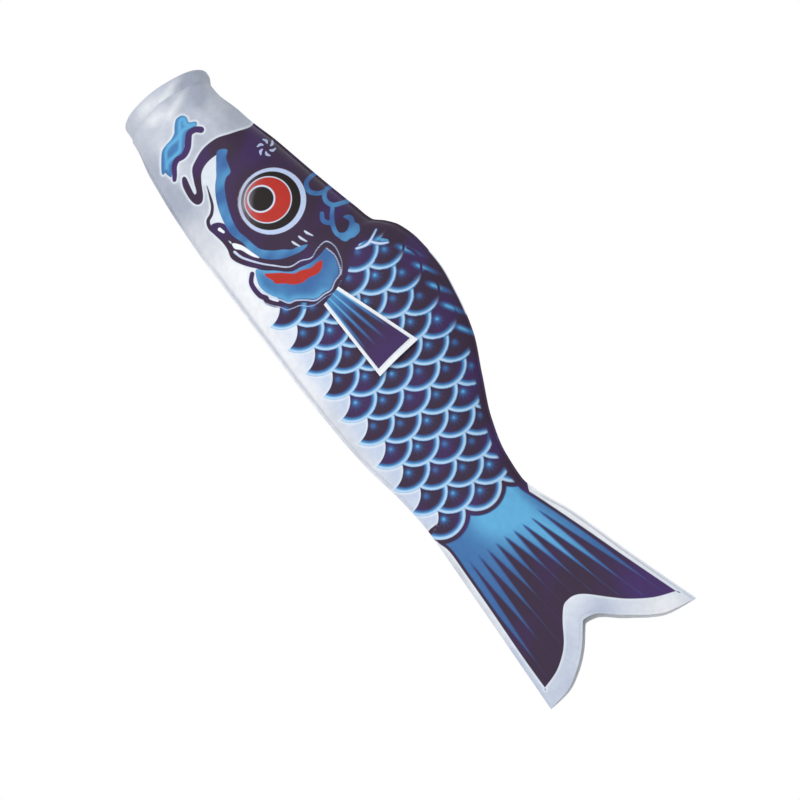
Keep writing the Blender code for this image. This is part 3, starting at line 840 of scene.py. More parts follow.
    def draw(self, print_field: PrintField) -> None:
        """Adds the whole head, in the order in which it is printed."""
        at = print_field.at
        u, v = at.T
        face = patch(at, self.face)
        wave = patch(at, self.wave_blue)
        band = patch(at, self.cheek_band)
        gill = patch(at, self.gill)
        print_field.add(Layer.GLOW, patch(at, self.cheek_white))
        print_field.add(Layer.SKY, wave)
        wave_line = stroke(at, self.wave_line, self.wave_widths)
        dark = union(
            face,
            patch(at, self.whisker),
            wave_line,
            stroke(at, self.lips, self.lip_widths),
            patch(at, self.nostril),
            stroke(at, self.gill_line, (0.0044, 0.0056, 0.0060, 0.0052)),
        )
        print_field.add(Layer.INK, dark)
        print_field.shade(Tint.VIOLET, 0.85, wave_line + 0.001)
        print_field.shade(Tint.BLOOM, np.zeros(len(at)), face)
        scrolls = union(*(stroke(at, line, (0.0040, 0.0046, 0.0044)) for line in self.scrolls))
        scrolls = union(scrolls, patch(at, self.scroll_head))
        print_field.add(Layer.OVER, union(band, gill, scrolls))
        light = 0.20 + 0.22 * np.sin(150 * u - 90 * v) + 0.10 * np.sin(410 * u + 130 * v)
        print_field.shade(Tint.TONE, np.clip(light, 0.01, 1), union(band, scrolls))
        near_rim = np.exp(-((gill.clip(0) / 0.0045) ** 2)) * (1 - smooth_step(0.005, 0.030, v))
        glow = 0.02 + 0.60 * near_rim + 0.20 * bump_at(v, -0.020, 0.010)
        glow = glow + 0.22 * bump_at(u + 0.4 * v, 0.243, 0.008)
        print_field.shade(Tint.TONE, glow, gill)
        streak = bump_at(wave + 0.0012 * np.sin(210 * v), 0.0040, 0.0019)
        print_field.shade(Tint.TONE, np.clip(0.20 + 0.75 * streak + 4 * (v + 0.02), 0.1, 1.0), wave)
        print_field.add(Layer.RED, patch(at, self.gill_red))
        gill_rim = stroke(at, self.gill_white, (0.0012, 0.0014, 0.0014, 0.0013, 0.0011))
        jaw_rim = stroke(at, self.jaw_white, (0.0024, 0.0015, 0.0011, 0.0010, 0.0010, 0.0010, 0.0004))
        scallop = stroke(at, self.gill_scallop, (0.0004, 0.0008, 0.0009, 0.0008, 0.0003))
        ticks = union(*(stroke(at, line, (0.0014, 0.0022, 0.0010)) for line in self.ticks))
        crest = union(*self.crest_marks(at))
        nape = union(*(stroke(at, line, (0.0018, 0.0024, 0.0012)) for line in self.nape))
        glow = stroke(at, self.nape_glow, (0.0014, 0.0034, 0.0016))
        print_field.add(Layer.OVER, union(glow, nape + 0.0006))
        print_field.shade(Tint.TONE, 0.75, glow + 0.001)
        print_field.shade(Tint.TONE, 0.35, nape + 0.001)
        white = union(
            patch(at, self.teeth),
            gill_rim,
            jaw_rim,
            scallop,
            stroke(at, ((0.1325, -0.0322), (0.1370, -0.0308)), (0.0034, 0.0022)),
            ticks,
            crest,
            nape,
        )
        print_field.cut(Layer.OVER, patch(at, self.teeth))
        print_field.add(Layer.PALE, white)
        rims = ((gill_rim, 0.8), (jaw_rim, 0.65), (scallop, 1.0), (ticks, 0.5), (crest, 0.9), (nape, 0.5))
        for marks, share in rims:
            print_field.shade(Tint.COOL, share, marks + 0.0008)
        EyePrint().draw(print_field)

    def crest_marks(self, at: Array) -> Iterable[Array]:
        """Short curved strokes set round a circle on the crown, like a small pinwheel."""
        for k in range(self.crest_strokes):
            turn = 2 * math.pi * k / self.crest_strokes + 0.3
            ends = [(0.0042, turn), (0.0066, turn + 0.16), (0.0088, turn + 0.52)]
            line = [(self.crest[0] + r * math.cos(a), self.crest[1] + r * math.sin(a)) for r, a in ends]
            yield stroke(at, line, (0.0012, 0.0026, 0.0010))


@dataclass(frozen=True)
class TailPrint:
    """Tail: a scalloped dark line at its root, pale blue that breaks into rays, and a plain margin."""

    outline: Points = (
        (0.4960, 0.0470), (0.5100, 0.0482), (0.5175, 0.0502), (0.5345, 0.0562), (0.5800, 0.0710),
        (0.6265, 0.0855), (0.6820, 0.1035), (0.6820, 0.1035), (0.6740, 0.0840), (0.6610, 0.0650),
        (0.6490, 0.0520), (0.6315, 0.0350), (0.6258, 0.0255), (0.6255, 0.0175), (0.6280, 0.0115),
        (0.6390, 0.0025), (0.6555, -0.0080), (0.6655, -0.0175), (0.6745, -0.0310), (0.6800, -0.0480),
        (0.6800, -0.0480), (0.6425, -0.0472), (0.5895, -0.0447), (0.5480, -0.0432), (0.5190, -0.0425),
        (0.5040, -0.0460), (0.4900, -0.0440),
    )
    low: tuple[tuple[float, float], tuple[float, float]] = ((0.519, -0.0425), (0.680, -0.0480))
    high: tuple[tuple[float, float], tuple[float, float]] = ((0.519, 0.0505), (0.682, 0.1035))
    rays: int = 10
    rays_start: float = 0.541
    short_rays_end: float = 0.594
    long_rays_extra: float = 0.072
    edge_line: float = 0.0024
    root_line: float = 0.0042

    def draw(self, print_field: PrintField, scales: Array) -> None:
        """Adds the tail behind the scales.

        Args:
            print_field: the fields to add to.
            scales: field of the scaled area, whose edge the root line follows.
        """
        at = print_field.at
        u, v = at.T
        shape = patch(at, self.outline)
        shape = np.where(u > 0.48, shape, -FAR)
        bottom = np.interp(u, *zip(*self.low))
        top = np.interp(u, *zip(*self.high))
        share = (v - bottom) / (top - bottom)
        middle = np.abs(2 * share - 1)
        end = self.short_rays_end + self.long_rays_extra * middle**1.2
        progress = (u - self.rays_start) / (end - self.rays_start)
        place = np.abs((share * self.rays) % 1 - 0.5)
        taper = 1.8 - 0.8 * middle
        width = 0.48 * (1 - progress.clip(0, 1)) ** taper + 0.02
        width = width + 0.32 * (1 - smooth_step(-0.20, 0.06, progress))
        spacing = (top - bottom) / self.rays
        rays = smooth_step(-0.0012, 0.0016, (width - place) * spacing)
        rays = rays * (1 - 0.12 * smooth_step(0.2, 1.0, progress))
        centre = bump_at(share, 0.62, 0.23)
        root = 0.64 + 0.14 * centre + 0.36 * bump_at(u, 0.512, 0.026) * bump_at(v, 0.014, 0.024)
        root = root + 0.26 * bump_at(share, 0.80, 0.11) - 0.14 * smooth_step(0.1, 0.9, progress)
        lines = np.minimum(shape - self.edge_line, -scales - self.root_line)
        bloom = rays * root * smooth_step(-0.0006, 0.0012, lines)
        own = np.where((scales < 0) & (shape > -0.004), 1.0, -1.0)
        print_field.shade(Tint.BLOOM, np.clip(bloom, 0, 1), own)
        print_field.add(Layer.INK, np.minimum(shape, -scales - 0.0001))
        tip = smooth_step(0.050, 0.075, v) * smooth_step(0.60, 0.66, u)
        print_field.shade(Tint.VIOLET, tip)


@dataclass(frozen=True)
class FinPrint:
    """Fin: dark blue with four pale rays from its root, inside a plain hem."""

    side_hem: float = 0.0031
    tip_hem: float = 0.0058
    rays: tuple[tuple[float, float, float], ...] = (
        (0.13, 0.84, 0.080),
        (0.36, 0.88, 0.072),
        (0.61, 0.92, 0.076),
        (0.86, 0.82, 0.085),
    )

    def draw(self, print_field: PrintField, along: Array, up: Array, length: float, height: Array) -> None:
        """Adds the fin's print.

        Args:
            print_field: the fields to add to.
            along: share of the fin's length from its root.
            up: share of the fin's height.
            length: length of the fin.
            height: height of the fin at each place.
        """
        sides = np.minimum(up, 1 - up) * height - self.side_hem
        shape = np.minimum(sides, (1 - along) * length - self.tip_hem)
        print_field.add(Layer.INK, shape)
        root = 1 - smooth_step(0.03, 0.46, along)
        bloom = 0.72 * root
        for place, reach, width in self.rays:
            fade = 1 - smooth_step(0.36, reach, along)
            thick = width * (1 - 0.7 * along / reach).clip(0.05)
            bloom = np.maximum(bloom, fade * np.exp(-(((up - place) / thick) ** 2)) * (0.72 + 0.28 * root))
        edge = 1 - smooth_step(0.0004, 0.0022, sides)
        bloom = np.maximum(bloom, 0.75 * edge * (1 - smooth_step(0.1, 0.75, along)))
        print_field.shade(Tint.BLOOM, bloom)
        print_field.shade(Tint.VIOLET, 0.8 * smooth_step(0.4, 0.9, along))


def body_print(at: Array) -> PrintField:
    """Every field of the body's print at the given places, each a (station, height) pair."""
    made = PrintField(at)
    u, v = at.T
    scales = ScalePrint().draw(made)
    TailPrint().draw(made, scales)
    HeadPrint().draw(made)
    back = BODY.top(np.clip(u, 0, TIP_STATION))
    strip = np.minimum(v - back + 0.0055, np.minimum(u - 0.070, 0.520 - u - 2.2 * (v - 0.050)))
    made.add(Layer.INK, strip)
    bare = np.minimum(v - back - 0.0017, 0.3 * np.minimum(u - 0.272, 0.345 - u))
    made.cut(Layer.INK, bare)
    made.cut(Layer.SKY, bare)
    printed = union(*(made.layers[layer] for layer in (Layer.SKY, Layer.INK, Layer.OVER, Layer.PALE)))
    made.add(Layer.GLOW, printed)
    made.shade(Tint.VIOLET, 0.60 * purple_clouds(at) * (1 - 0.55 * smooth_step(0.52, 0.56, u)))
    # Painted blue shade on the bare cloth beside the scales and on the tail's margin, kept in the cool
    # share.
    beside = smooth_step(-0.058, -0.036, v) * smooth_step(0.205, 0.30, u)
    beside = beside * (1 - smooth_step(0.485, 0.510, u))
    belly = BODY.bottom(np.clip(u, 0, TIP_STATION))
    # Painted shade: a dark line painted along the crease of the back seam on the tail, and a fainter one
    # along the belly seam.
    seam = bump_at(v - back, 0.0003, 0.0009) * smooth_step(0.515, 0.540, u)
    under = smooth_step(0.10, 0.20, u) * (1 - smooth_step(0.50, 0.52, u))
    seam = seam + 0.6 * bump_at(v - belly, 0.0010, 0.0020) * under
    # The cloth's painted shade and painted highlights, with the painted seam shade.
    made.shade(Tint.SHADOW, np.maximum(painted_cloth_shade(at), 0.9 * seam))
    beside = np.maximum(beside, 0.5 * smooth_step(0.60, 0.64, u) * (1 - bump_at(v, 0.085, 0.025)))
    made.shade(Tint.COOL, 0.75 * beside, -np.maximum(made.layers[Layer.SKY], made.layers[Layer.PALE]))
    return made


def print_over(piece: bpy.types.Object) -> None:
    """Prints the body's pattern on a small piece, wherever its points lie."""
    places = np.zeros(len(piece.data.vertices) * 3, np.float32)
    piece.data.vertices.foreach_get("co", places)
    x, y, z = places.reshape(-1, 3).T.astype(float)
    at = np.stack([x - PRINT_LEAN * np.abs(y), z], -1)
    for name, values in body_print(at).stored().items():
        set_share(piece.data, name, values)
    set_uv(piece.data, at)


# ------------------------------------------------------------------------------ materials


def srgb(red: int, green: int, blue: int) -> Colour:
    """Linear colour of a screen colour given from 0 to 255."""
    shares = np.array([red, green, blue]) / 255
    linear = np.where(shares <= 0.04045, shares / 12.92, ((shares + 0.055) / 1.055) ** 2.4)
    return (*(float(x) for x in linear), 1.0)


@dataclass(frozen=True)
class DyesAndShading:
    """Colours of the cloth and of the inks, of the painted shade on the bare cloth, and of the grey shine on
    the eye.
    """

    cloth: Colour = srgb(228, 229, 231)
    # Colour of the painted shade on the bare cloth.
    cloth_shadow: Colour = srgb(161, 167, 181)
    # Colour of the painted blue shade on the bare cloth.
    cloth_blue_shade: Colour = srgb(180, 194, 219)
    halo: Colour = srgb(214, 221, 227)
    rim: Colour = srgb(180, 208, 230)
    rim_edge: Colour = srgb(84, 146, 198)
    ink: Colour = srgb(57, 42, 63)
    ink_violet: Colour = srgb(66, 44, 96)
    sky_deep: Colour = srgb(58, 98, 152)
    sky_light: Colour = srgb(94, 166, 208)
    pale: Colour = srgb(228, 233, 238)
    pale_cool: Colour = srgb(160, 180, 222)
    red: Colour = srgb(176, 48, 38)
    black: Colour = srgb(34, 28, 28)
    shine: Colour = srgb(158, 150, 160)


class Nodes:
    """Short ways to add nodes to one node tree."""

    def __init__(self, tree: bpy.types.NodeTree) -> None:
        """Works on the given tree."""
        self.tree = tree

    def add(self, kind: str, **settings: object) -> bpy.types.Node:
        """New node of a kind, with its settings."""
        node = self.tree.nodes.new(kind)
        for name, value in settings.items():
            setattr(node, name, value)
        return node

    def feed(self, socket: bpy.types.NodeSocket, value: object) -> None:
        """Links an output to a socket, or sets the socket to a number or colour."""
        if isinstance(value, bpy.types.NodeSocket):
            self.tree.links.new(value, socket)
        else:
            socket.default_value = value

    def attribute(self, name: str) -> bpy.types.NodeSocket:
        """Number stored on the mesh under a name."""
        return self.add("ShaderNodeAttribute", attribute_name=name).outputs["Fac"]

    def maths(self, operation: str, first: object, second: object = 0.0) -> bpy.types.NodeSocket:
        """Result of one operation on two numbers."""
        node = self.add("ShaderNodeMath", operation=operation)
        self.feed(node.inputs[0], first)
        self.feed(node.inputs[1], second)
        return node.outputs[0]

    def ramp(
        self, value: object, low: float, high: float, start: float = 0.0, end: float = 1.0
    ) -> bpy.types.NodeSocket:
        """Smooth change from start to end as a value goes from low to high."""
        node = self.add("ShaderNodeMapRange", interpolation_type="SMOOTHSTEP")
        for socket, number in zip(node.inputs, (value, low, high, start, end)):
            self.feed(socket, number)
        return node.outputs["Result"]

    def mix(self, share: object, first: object, second: object) -> bpy.types.NodeSocket:
        """Colour between two colours."""
        node = self.add("ShaderNodeMix", data_type="RGBA")
        self.feed(node.inputs[0], share)
        self.feed(node.inputs[6], first)
        self.feed(node.inputs[7], second)
        return node.outputs[2]

    def noise(self, scale: float, detail: float, place: bpy.types.NodeSocket) -> bpy.types.NodeSocket:
        """Value of a noise pattern at a place."""
        node = self.add("ShaderNodeTexNoise")
        node.inputs["Scale"].default_value = scale
        node.inputs["Detail"].default_value = detail
        self.feed(node.inputs["Vector"], place)
        return node.outputs[0]

    def bump(self, strength: float, distance: float, height: bpy.types.NodeSocket) -> bpy.types.NodeSocket:
        """Normal that is tilted by a height."""
        node = self.add("ShaderNodeBump")
        node.inputs["Strength"].default_value = strength
        node.inputs["Distance"].default_value = distance
        self.feed(node.inputs["Height"], height)
        return node.outputs[0]


def new_material(name: str) -> tuple[bpy.types.Material, Nodes, bpy.types.Node]:
    """Material with a helper on its nodes, and its shader."""
    material = bpy.data.materials.new(name)
    material.use_nodes = True
    return material, Nodes(material.node_tree), material.node_tree.nodes["Principled BSDF"]


def new_group(
    name: str, inputs: Sequence[tuple[str, str, float]], outputs: Sequence[tuple[str, str]]
) -> tuple[bpy.types.NodeTree, Nodes, bpy.types.Node, bpy.types.Node]:
    """Empty shader node group with named sockets.

    Args:
        name: name of the group.
        inputs: name, socket type and starting value of each input.
        outputs: name and socket type of each output.

    Returns:
        The group, a Nodes helper on it, its input node and its output node.
    """
    tree = bpy.data.node_groups.new(name, "ShaderNodeTree")
    for label, kind, value in inputs:
        socket = tree.interface.new_socket(label, in_out="INPUT", socket_type=kind)
        if kind == "NodeSocketFloat":
            socket.default_value = value
    for label, kind in outputs:
        tree.interface.new_socket(label, in_out="OUTPUT", socket_type=kind)
    nodes = Nodes(tree)
    return tree, nodes, nodes.add("NodeGroupInput"), nodes.add("NodeGroupOutput")


def weave_group() -> bpy.types.NodeTree:
    """Plain weave: warp and weft waves crossed by a checker, with slow slubs.

    Thread height is the larger of two rounded waves whose signs alternate from thread to thread.
    """
    tree, nodes, given, made = new_group(
        "plain_weave",
        (("Place", "NodeSocketVector", 0.0), ("Threads", "NodeSocketFloat", 1200.0)),
        (("Height", "NodeSocketFloat"), ("Shade", "NodeSocketFloat")),
    )
    split = nodes.add("ShaderNodeSeparateXYZ")
    nodes.feed(split.inputs[0], given.outputs["Place"])
    turn = nodes.maths("MULTIPLY", given.outputs["Threads"], math.pi)
    across = nodes.maths("SINE", nodes.maths("MULTIPLY", split.outputs[0], turn))
    along = nodes.maths("SINE", nodes.maths("MULTIPLY", split.outputs[1], turn))
    crossed = nodes.maths("MULTIPLY", across, along)
    slubs = nodes.noise(160.0, 3.0, given.outputs["Place"])
    nodes.feed(made.inputs["Height"], nodes.maths("ADD", nodes.maths("MULTIPLY", crossed, 0.5), slubs))
    nodes.feed(made.inputs["Shade"], nodes.ramp(slubs, 0.3, 0.7, 0.965, 1.035))
    return tree


@dataclass(frozen=True)
class ClothFinish:
    """Satin polyester: a fine weave, a soft sheen, the cloth's painted shade and, where asked, the print."""

    name: str
    printed: bool
    roughness: float = 0.60
    sheen: float = 0.03
    weave_depth: float = 0.00004
    threads_per_metre: float = 1250.0
    dyes_and_shading: DyesAndShading = DyesAndShading()

    def build(self, weave: bpy.types.NodeTree) -> bpy.types.Material:
        """Makes the material.

        Args:
            weave: the shared weave group.

        Returns:
            The finished material.
        """
        material, nodes, shader = new_material(self.name)
        threads = nodes.add("ShaderNodeGroup", node_tree=weave)
        threads.inputs["Threads"].default_value = self.threads_per_metre
        nodes.feed(threads.inputs["Place"], nodes.add("ShaderNodeUVMap", uv_map="cloth").outputs[0])
        colour = self.cloth_colour(nodes)
        if self.printed:
            colour = self.print_colour(nodes, colour)
        scaled = nodes.add("ShaderNodeVectorMath", operation="SCALE")
        nodes.feed(scaled.inputs[0], colour)
        nodes.feed(scaled.inputs["Scale"], threads.outputs["Shade"])
        nodes.feed(shader.inputs["Base Color"], scaled.outputs[0])
        height = threads.outputs["Height"]
        nodes.feed(shader.inputs["Normal"], nodes.bump(0.35, self.weave_depth, height))
        gloss = nodes.ramp(height, 0.0, 1.2, self.roughness - 0.05, self.roughness + 0.05)
        nodes.feed(shader.inputs["Roughness"], gloss)
        shader.inputs["Sheen Weight"].default_value = self.sheen
        shader.inputs["Sheen Roughness"].default_value = 0.4
        shader.inputs["Specular IOR Level"].default_value = 0.16
        return material

    def cloth_colour(self, nodes: Nodes) -> bpy.types.NodeSocket:
        """Bare cloth with its painted shade, and with painted blue shade beside the scales."""
        shaded_cloth = nodes.mix(nodes.attribute(Tint.SHADOW.value), self.dyes_and_shading.cloth, self.dyes_and_shading.cloth_shadow)
        return nodes.mix(nodes.attribute(Tint.COOL.value), shaded_cloth, self.dyes_and_shading.cloth_blue_shade)

    def print_colour(self, nodes: Nodes, cloth: bpy.types.NodeSocket) -> bpy.types.NodeSocket:
        """Inks laid over the cloth in order, and most of them lost on the reverse of the cloth.

        Args:
            nodes: helper of the material.
            cloth: colour of the bare cloth.

        Returns:
            The printed colour.
        """
        dyes_and_shading, soft = self.dyes_and_shading, 0.00045

        def mask(layer: Layer) -> bpy.types.NodeSocket:
            """Cover of a layer, soft over a thread or two at its edge."""
            return nodes.ramp(nodes.attribute(layer.value), -soft, soft)

        bloom, tone = nodes.attribute(Tint.BLOOM.value), nodes.attribute(Tint.TONE.value)
        cool = nodes.attribute(Tint.COOL.value)
        halo = nodes.ramp(nodes.attribute(Layer.GLOW.value), -0.0030, -0.0004, 0.0, 0.8)
        colour = nodes.mix(halo, cloth, dyes_and_shading.halo)
        rim = nodes.mix(cool, dyes_and_shading.rim, dyes_and_shading.rim_edge)
        wave = nodes.mix(tone, dyes_and_shading.sky_deep, dyes_and_shading.sky_light)
        ink = nodes.mix(nodes.attribute(Tint.VIOLET.value), dyes_and_shading.ink, dyes_and_shading.ink_violet)
        rim = nodes.mix(nodes.attribute(Tint.FADE.value), rim, ink)
        head = nodes.ramp(tone, 0.0, 0.06)
        colour = nodes.mix(mask(Layer.SKY), colour, nodes.mix(head, rim, wave))
        ink = nodes.mix(nodes.ramp(bloom, 0.05, 0.62), ink, dyes_and_shading.sky_deep)
        ink = nodes.mix(nodes.ramp(bloom, 0.55, 1.0), ink, dyes_and_shading.sky_light)
        colour = nodes.mix(mask(Layer.INK), colour, ink)
        colour = nodes.mix(mask(Layer.OVER), colour, wave)
        colour = nodes.mix(mask(Layer.PALE), colour, nodes.mix(cool, dyes_and_shading.pale, dyes_and_shading.pale_cool))
        colour = nodes.mix(mask(Layer.RED), colour, dyes_and_shading.red)
        colour = nodes.mix(mask(Layer.BLACK), colour, dyes_and_shading.black)
        colour = nodes.mix(nodes.attribute(Tint.VEIL.value), colour, dyes_and_shading.shine)
        reverse = nodes.maths("MULTIPLY", nodes.attribute("reverse"), 0.6)
        return nodes.mix(reverse, colour, dyes_and_shading.cloth)


@dataclass(frozen=True)
class ThreadFinish:
    """Sewing thread: two plies that show as slanting stripes."""

    name: str
    colour: Colour = srgb(214, 218, 224)
    roughness: float = 0.5

    def build(self) -> bpy.types.Material:
        """Makes the material."""
        material, nodes, shader = new_material(self.name)
        stripes = nodes.add("ShaderNodeTexWave", bands_direction="DIAGONAL")
        stripes.inputs["Scale"].default_value = 900.0
        place = nodes.add("ShaderNodeTexCoord").outputs["Object"]
        nodes.feed(stripes.inputs["Vector"], place)
        dark = tuple(0.8 * x for x in self.colour[:3]) + (1.0,)
        nodes.feed(shader.inputs["Base Color"], nodes.mix(stripes.outputs["Fac"], dark, self.colour))
        shader.inputs["Roughness"].default_value = self.roughness
        return material


@dataclass(frozen=True)
class PlasticFinish:
    """Moulded plastic: a fine grain in the gloss and faint scuffs in the colour."""

    name: str
    colour: Colour
    roughness: float

    def build(self) -> bpy.types.Material:
        """Makes the material."""
        material, nodes, shader = new_material(self.name)
        place = nodes.add("ShaderNodeTexCoord").outputs["Object"]
        grain = nodes.noise(900.0, 2.0, place)
        scuffs = nodes.ramp(nodes.noise(140.0, 5.0, place), 0.5, 0.75)
        worn = tuple(0.78 * x for x in self.colour[:3]) + (1.0,)
        nodes.feed(shader.inputs["Base Color"], nodes.mix(scuffs, self.colour, worn))
        gloss = nodes.ramp(grain, 0.3, 0.7, self.roughness - 0.08, self.roughness + 0.08)
        nodes.feed(shader.inputs["Roughness"], gloss)
        nodes.feed(shader.inputs["Normal"], nodes.bump(0.25, 0.00005, grain))
        return material


@dataclass
class Finishes:
    """Every material of the streamer, each built once."""

    printed: bpy.types.Material
    plain: bpy.types.Material
    fin: bpy.types.Material
    thread: bpy.types.Material
    hoop: bpy.types.Material
    joiner: bpy.types.Material

    @classmethod
    def make(cls) -> "Finishes":
        """Builds them all."""
        weave = weave_group()
        return cls(
            printed=ClothFinish("printed_satin", True).build(weave),
            plain=ClothFinish("plain_satin", False).build(weave),
            fin=ClothFinish("fin_satin", True).build(weave),
            thread=ThreadFinish("sewing_thread").build(),
            hoop=PlasticFinish("hoop_plastic", srgb(222, 222, 224), 0.42).build(),
            joiner=PlasticFinish("joiner_plastic", srgb(190, 194, 202), 0.36).build(),
        )


# ----------------------------------------------------------------------------- mesh making


@dataclass
class Sheet:
    """A grid of points on the outer face of a cloth, with its thickness inside."""

    name: str
    points: Array
    side: Side
    thickness: float = CLOTH
    wrapped: bool = False
    creases: tuple[int, ...] = ()
    shares: dict[str, Array] = field(default_factory=dict)

    def build(self, material: bpy.types.Material) -> bpy.types.Object:
        """Makes one closed mesh: the outer grid, the same grid moved in along its normals, and a rim."""
        rows, columns = self.points.shape[:2]
        inner = self.points - self.thickness * grid_normals(self.points, self.side, self.wrapped)
        ring_rows = rows - 1 if self.wrapped else rows
        index = np.arange(rows * columns).reshape(rows, columns)
        if self.wrapped:
            index[-1] = index[0]
        count = ring_rows * columns
        places = np.concatenate([self.points[:ring_rows].reshape(-1, 3), inner[:ring_rows].reshape(-1, 3)])
        quads = np.stack([index[:-1, :-1], index[1:, :-1], index[1:, 1:], index[:-1, 1:]], -1).reshape(-1, 4)
        edges = [(index[:, 0], False), (index[:, -1], True)]
        if not self.wrapped:
            edges += [(index[0], True), (index[-1], False)]
        rims = []
        for line, turned in edges:
            rim = np.stack([line[:-1], line[1:], line[1:] + count, line[:-1] + count], -1)
            rims.append(rim if turned else rim[:, ::-1])
        faces = np.concatenate([quads, quads[:, ::-1] + count, *rims])
        if self.side is Side.RIGHT:
            faces = faces[:, ::-1]
        made = mesh_object(self.name, places, faces, material)
        flat = np.concatenate([self.points[:ring_rows].reshape(-1, 3)[:, [0, 2]]] * 2)
        if self.wrapped:
            turn = np.linspace(0, 2 * math.pi * MOUTH_RADIUS, rows)[:ring_rows, None] + np.zeros(columns)
            unrolled = np.stack([self.points[:ring_rows, :, 0], turn], -1)
            flat = np.concatenate([unrolled.reshape(-1, 2)] * 2)
        set_uv(made.data, flat)
        for name, values in self.shares.items():
            kept = values.reshape(rows, columns)[:ring_rows].ravel()
            set_share(made.data, name, np.concatenate([kept, kept]))
        set_share(made.data, "reverse", np.repeat([0.0, 1.0], count))
        border = np.zeros((ring_rows, columns), bool)
        border[:, [0, -1]] = True
        if not self.wrapped:
            border[[0, -1]] = True
        folds = np.zeros((ring_rows, columns), bool)
        folds[:, list(self.creases)] = True
        for flags in (border, folds):
            sharpen(made.data, np.concatenate([flags.ravel(), flags.ravel()]))
        return made


def mesh_object(name: str, places: Array, faces: Array, material: bpy.types.Material) -> bpy.types.Object:
    """Object with a smooth-shaded mesh of the given points and faces."""
    mesh = bpy.data.meshes.new(name)
    mesh.from_pydata(places, [], faces)
    mesh.shade_smooth()
    mesh.materials.append(material)
    made = bpy.data.objects.new(name, mesh)
    bpy.context.scene.collection.objects.link(made)
    return made


def set_share(mesh: bpy.types.Mesh, name: str, values: Array) -> None:
    """Stores a number for each point of a mesh."""
    mesh.attributes.new(name, "FLOAT", "POINT").data.foreach_set("value", values.astype(np.float32))


def set_uv(mesh: bpy.types.Mesh, flat: Array) -> None:
    """Stores each point's place on the flat cloth, in metres, as the mesh's texture map."""
    corner = np.zeros(len(mesh.loops), np.int32)
    mesh.loops.foreach_get("vertex_index", corner)
    layer = mesh.uv_layers.new(name="cloth")
    layer.data.foreach_set("uv", flat[corner].astype(np.float32).ravel())


def sharpen(mesh: bpy.types.Mesh, flags: Array) -> None:
    """Marks the edges that join two flagged points as sharp."""
    ends = np.zeros(len(mesh.edges) * 2, np.int32)
    mesh.edges.foreach_get("vertices", ends)
    both = flags[ends.reshape(-1, 2)].all(1)
    layer = mesh.attributes.get("sharp_edge") or mesh.attributes.new("sharp_edge", "BOOLEAN", "EDGE")
    old = np.zeros(len(mesh.edges), bool)
    layer.data.foreach_get("value", old)
    layer.data.foreach_set("value", old | both)


def cut_size(points: Array) -> tuple[tuple[float, float], float]:
    """Flat size of a grid of cloth.

    Returns:
        The width along its widest row and the length along its longest column, and its area.
    """
    across = np.linalg.norm(np.diff(points, axis=1), axis=2)
    along = np.linalg.norm(np.diff(points, axis=0), axis=2)
    area = (across[:-1] + across[1:]) / 2 * (along[:, :-1] + along[:, 1:]) / 2
    width, length = float(across.sum(1).max()), float(along.sum(0).max())
    return (max(width, NARROWEST), max(length, NARROWEST)), float(area.sum())


def sideways(side: Side, count: int) -> Array:
    """Outward directions of a flat seam on one side of the fish."""
    return np.tile([0.0, float(side.value), 0.0], (count, 1))


def declare(
    points: Array, nodes: Sequence[str], rests_on: str
) -> None:
    """Works out a sheet of cloth's flat size, and hides the nodes that the sheet replaces."""
    size, area = cut_size(points)
    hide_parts(*nodes)


# ------------------------------------------------------------------------------ stitching


@dataclass(frozen=True)
class Stitching:
    """Running stitches of twisted thread, each a short rounded bead that dips into the cloth."""

    length: float = 0.0021
    pitch: float = 0.0029
    radius: float = 0.00019
    lift: float = 0.00006

    def build(
        self, name: str, path: Array, outward: Array, material: bpy.types.Material
    ) -> bpy.types.Object:
        """Makes every stitch along a path.

        Args:
            name: name of the piece.
            path: points along the seam, n by 3, close together.
            outward: unit normals of the cloth at those points.
            material: the thread.

        Returns:
            One object that holds all the stitches. Each is a template of five rings of six points,
            whose radius goes as the sine along it, turned to the seam's direction.
        """
        run = np.concatenate([[0], np.cumsum(np.linalg.norm(np.diff(path, axis=0), axis=1))])
        centres = np.arange(self.pitch / 2, run[-1] - self.pitch / 4, self.pitch)
        place = np.stack([np.interp(centres, run, path[:, k]) for k in range(3)], -1)
        ahead = np.stack([np.interp(centres + self.length / 4, run, path[:, k]) for k in range(3)], -1)
        normal = np.stack([np.interp(centres, run, outward[:, k]) for k in range(3)], -1)
        direction = ahead - place
        direction /= np.linalg.norm(direction, axis=1, keepdims=True).clip(1e-9)
        normal -= (normal * direction).sum(1, keepdims=True) * direction
        normal /= np.linalg.norm(normal, axis=1, keepdims=True).clip(1e-9)
        beside = np.cross(direction, normal)
        rings, points = 5, 6
        share = np.linspace(-1, 1, rings)
        thick = self.radius * np.array([0.25, 0.85, 1.0, 0.85, 0.25])
        angle = np.arange(points) * 2 * math.pi / points
        dip = self.lift - 2.4 * self.radius * share**4
        shape = (
            place[:, None, None, :]
            + (self.length / 2 * share)[None, :, None, None] * direction[:, None, None, :]
            + (thick[:, None] * np.cos(angle))[None, :, :, None] * beside[:, None, None, :]
            + (thick[:, None] * np.sin(angle) + dip[:, None])[None, :, :, None] * normal[:, None, None, :]
        )
        one = np.arange(rings * points).reshape(rings, points)
        wrap = np.roll(one, -1, axis=1)
        sides = np.stack([one[:-1], one[1:], wrap[1:], wrap[:-1]], -1).reshape(-1, 4)
        ends = np.array([[0, 1, 2, 3], [0, 3, 4, 5]])
        caps = np.concatenate([ends, ends[:, ::-1] + (rings - 1) * points])
        faces = np.concatenate([sides, caps])
        every = (faces[None] + (np.arange(len(place)) * rings * points)[:, None, None]).reshape(-1, 4)
        return mesh_object(name, shape.reshape(-1, 3), every, material)


STITCHES = Stitching()


# ------------------------------------------------------------------------------ the pieces


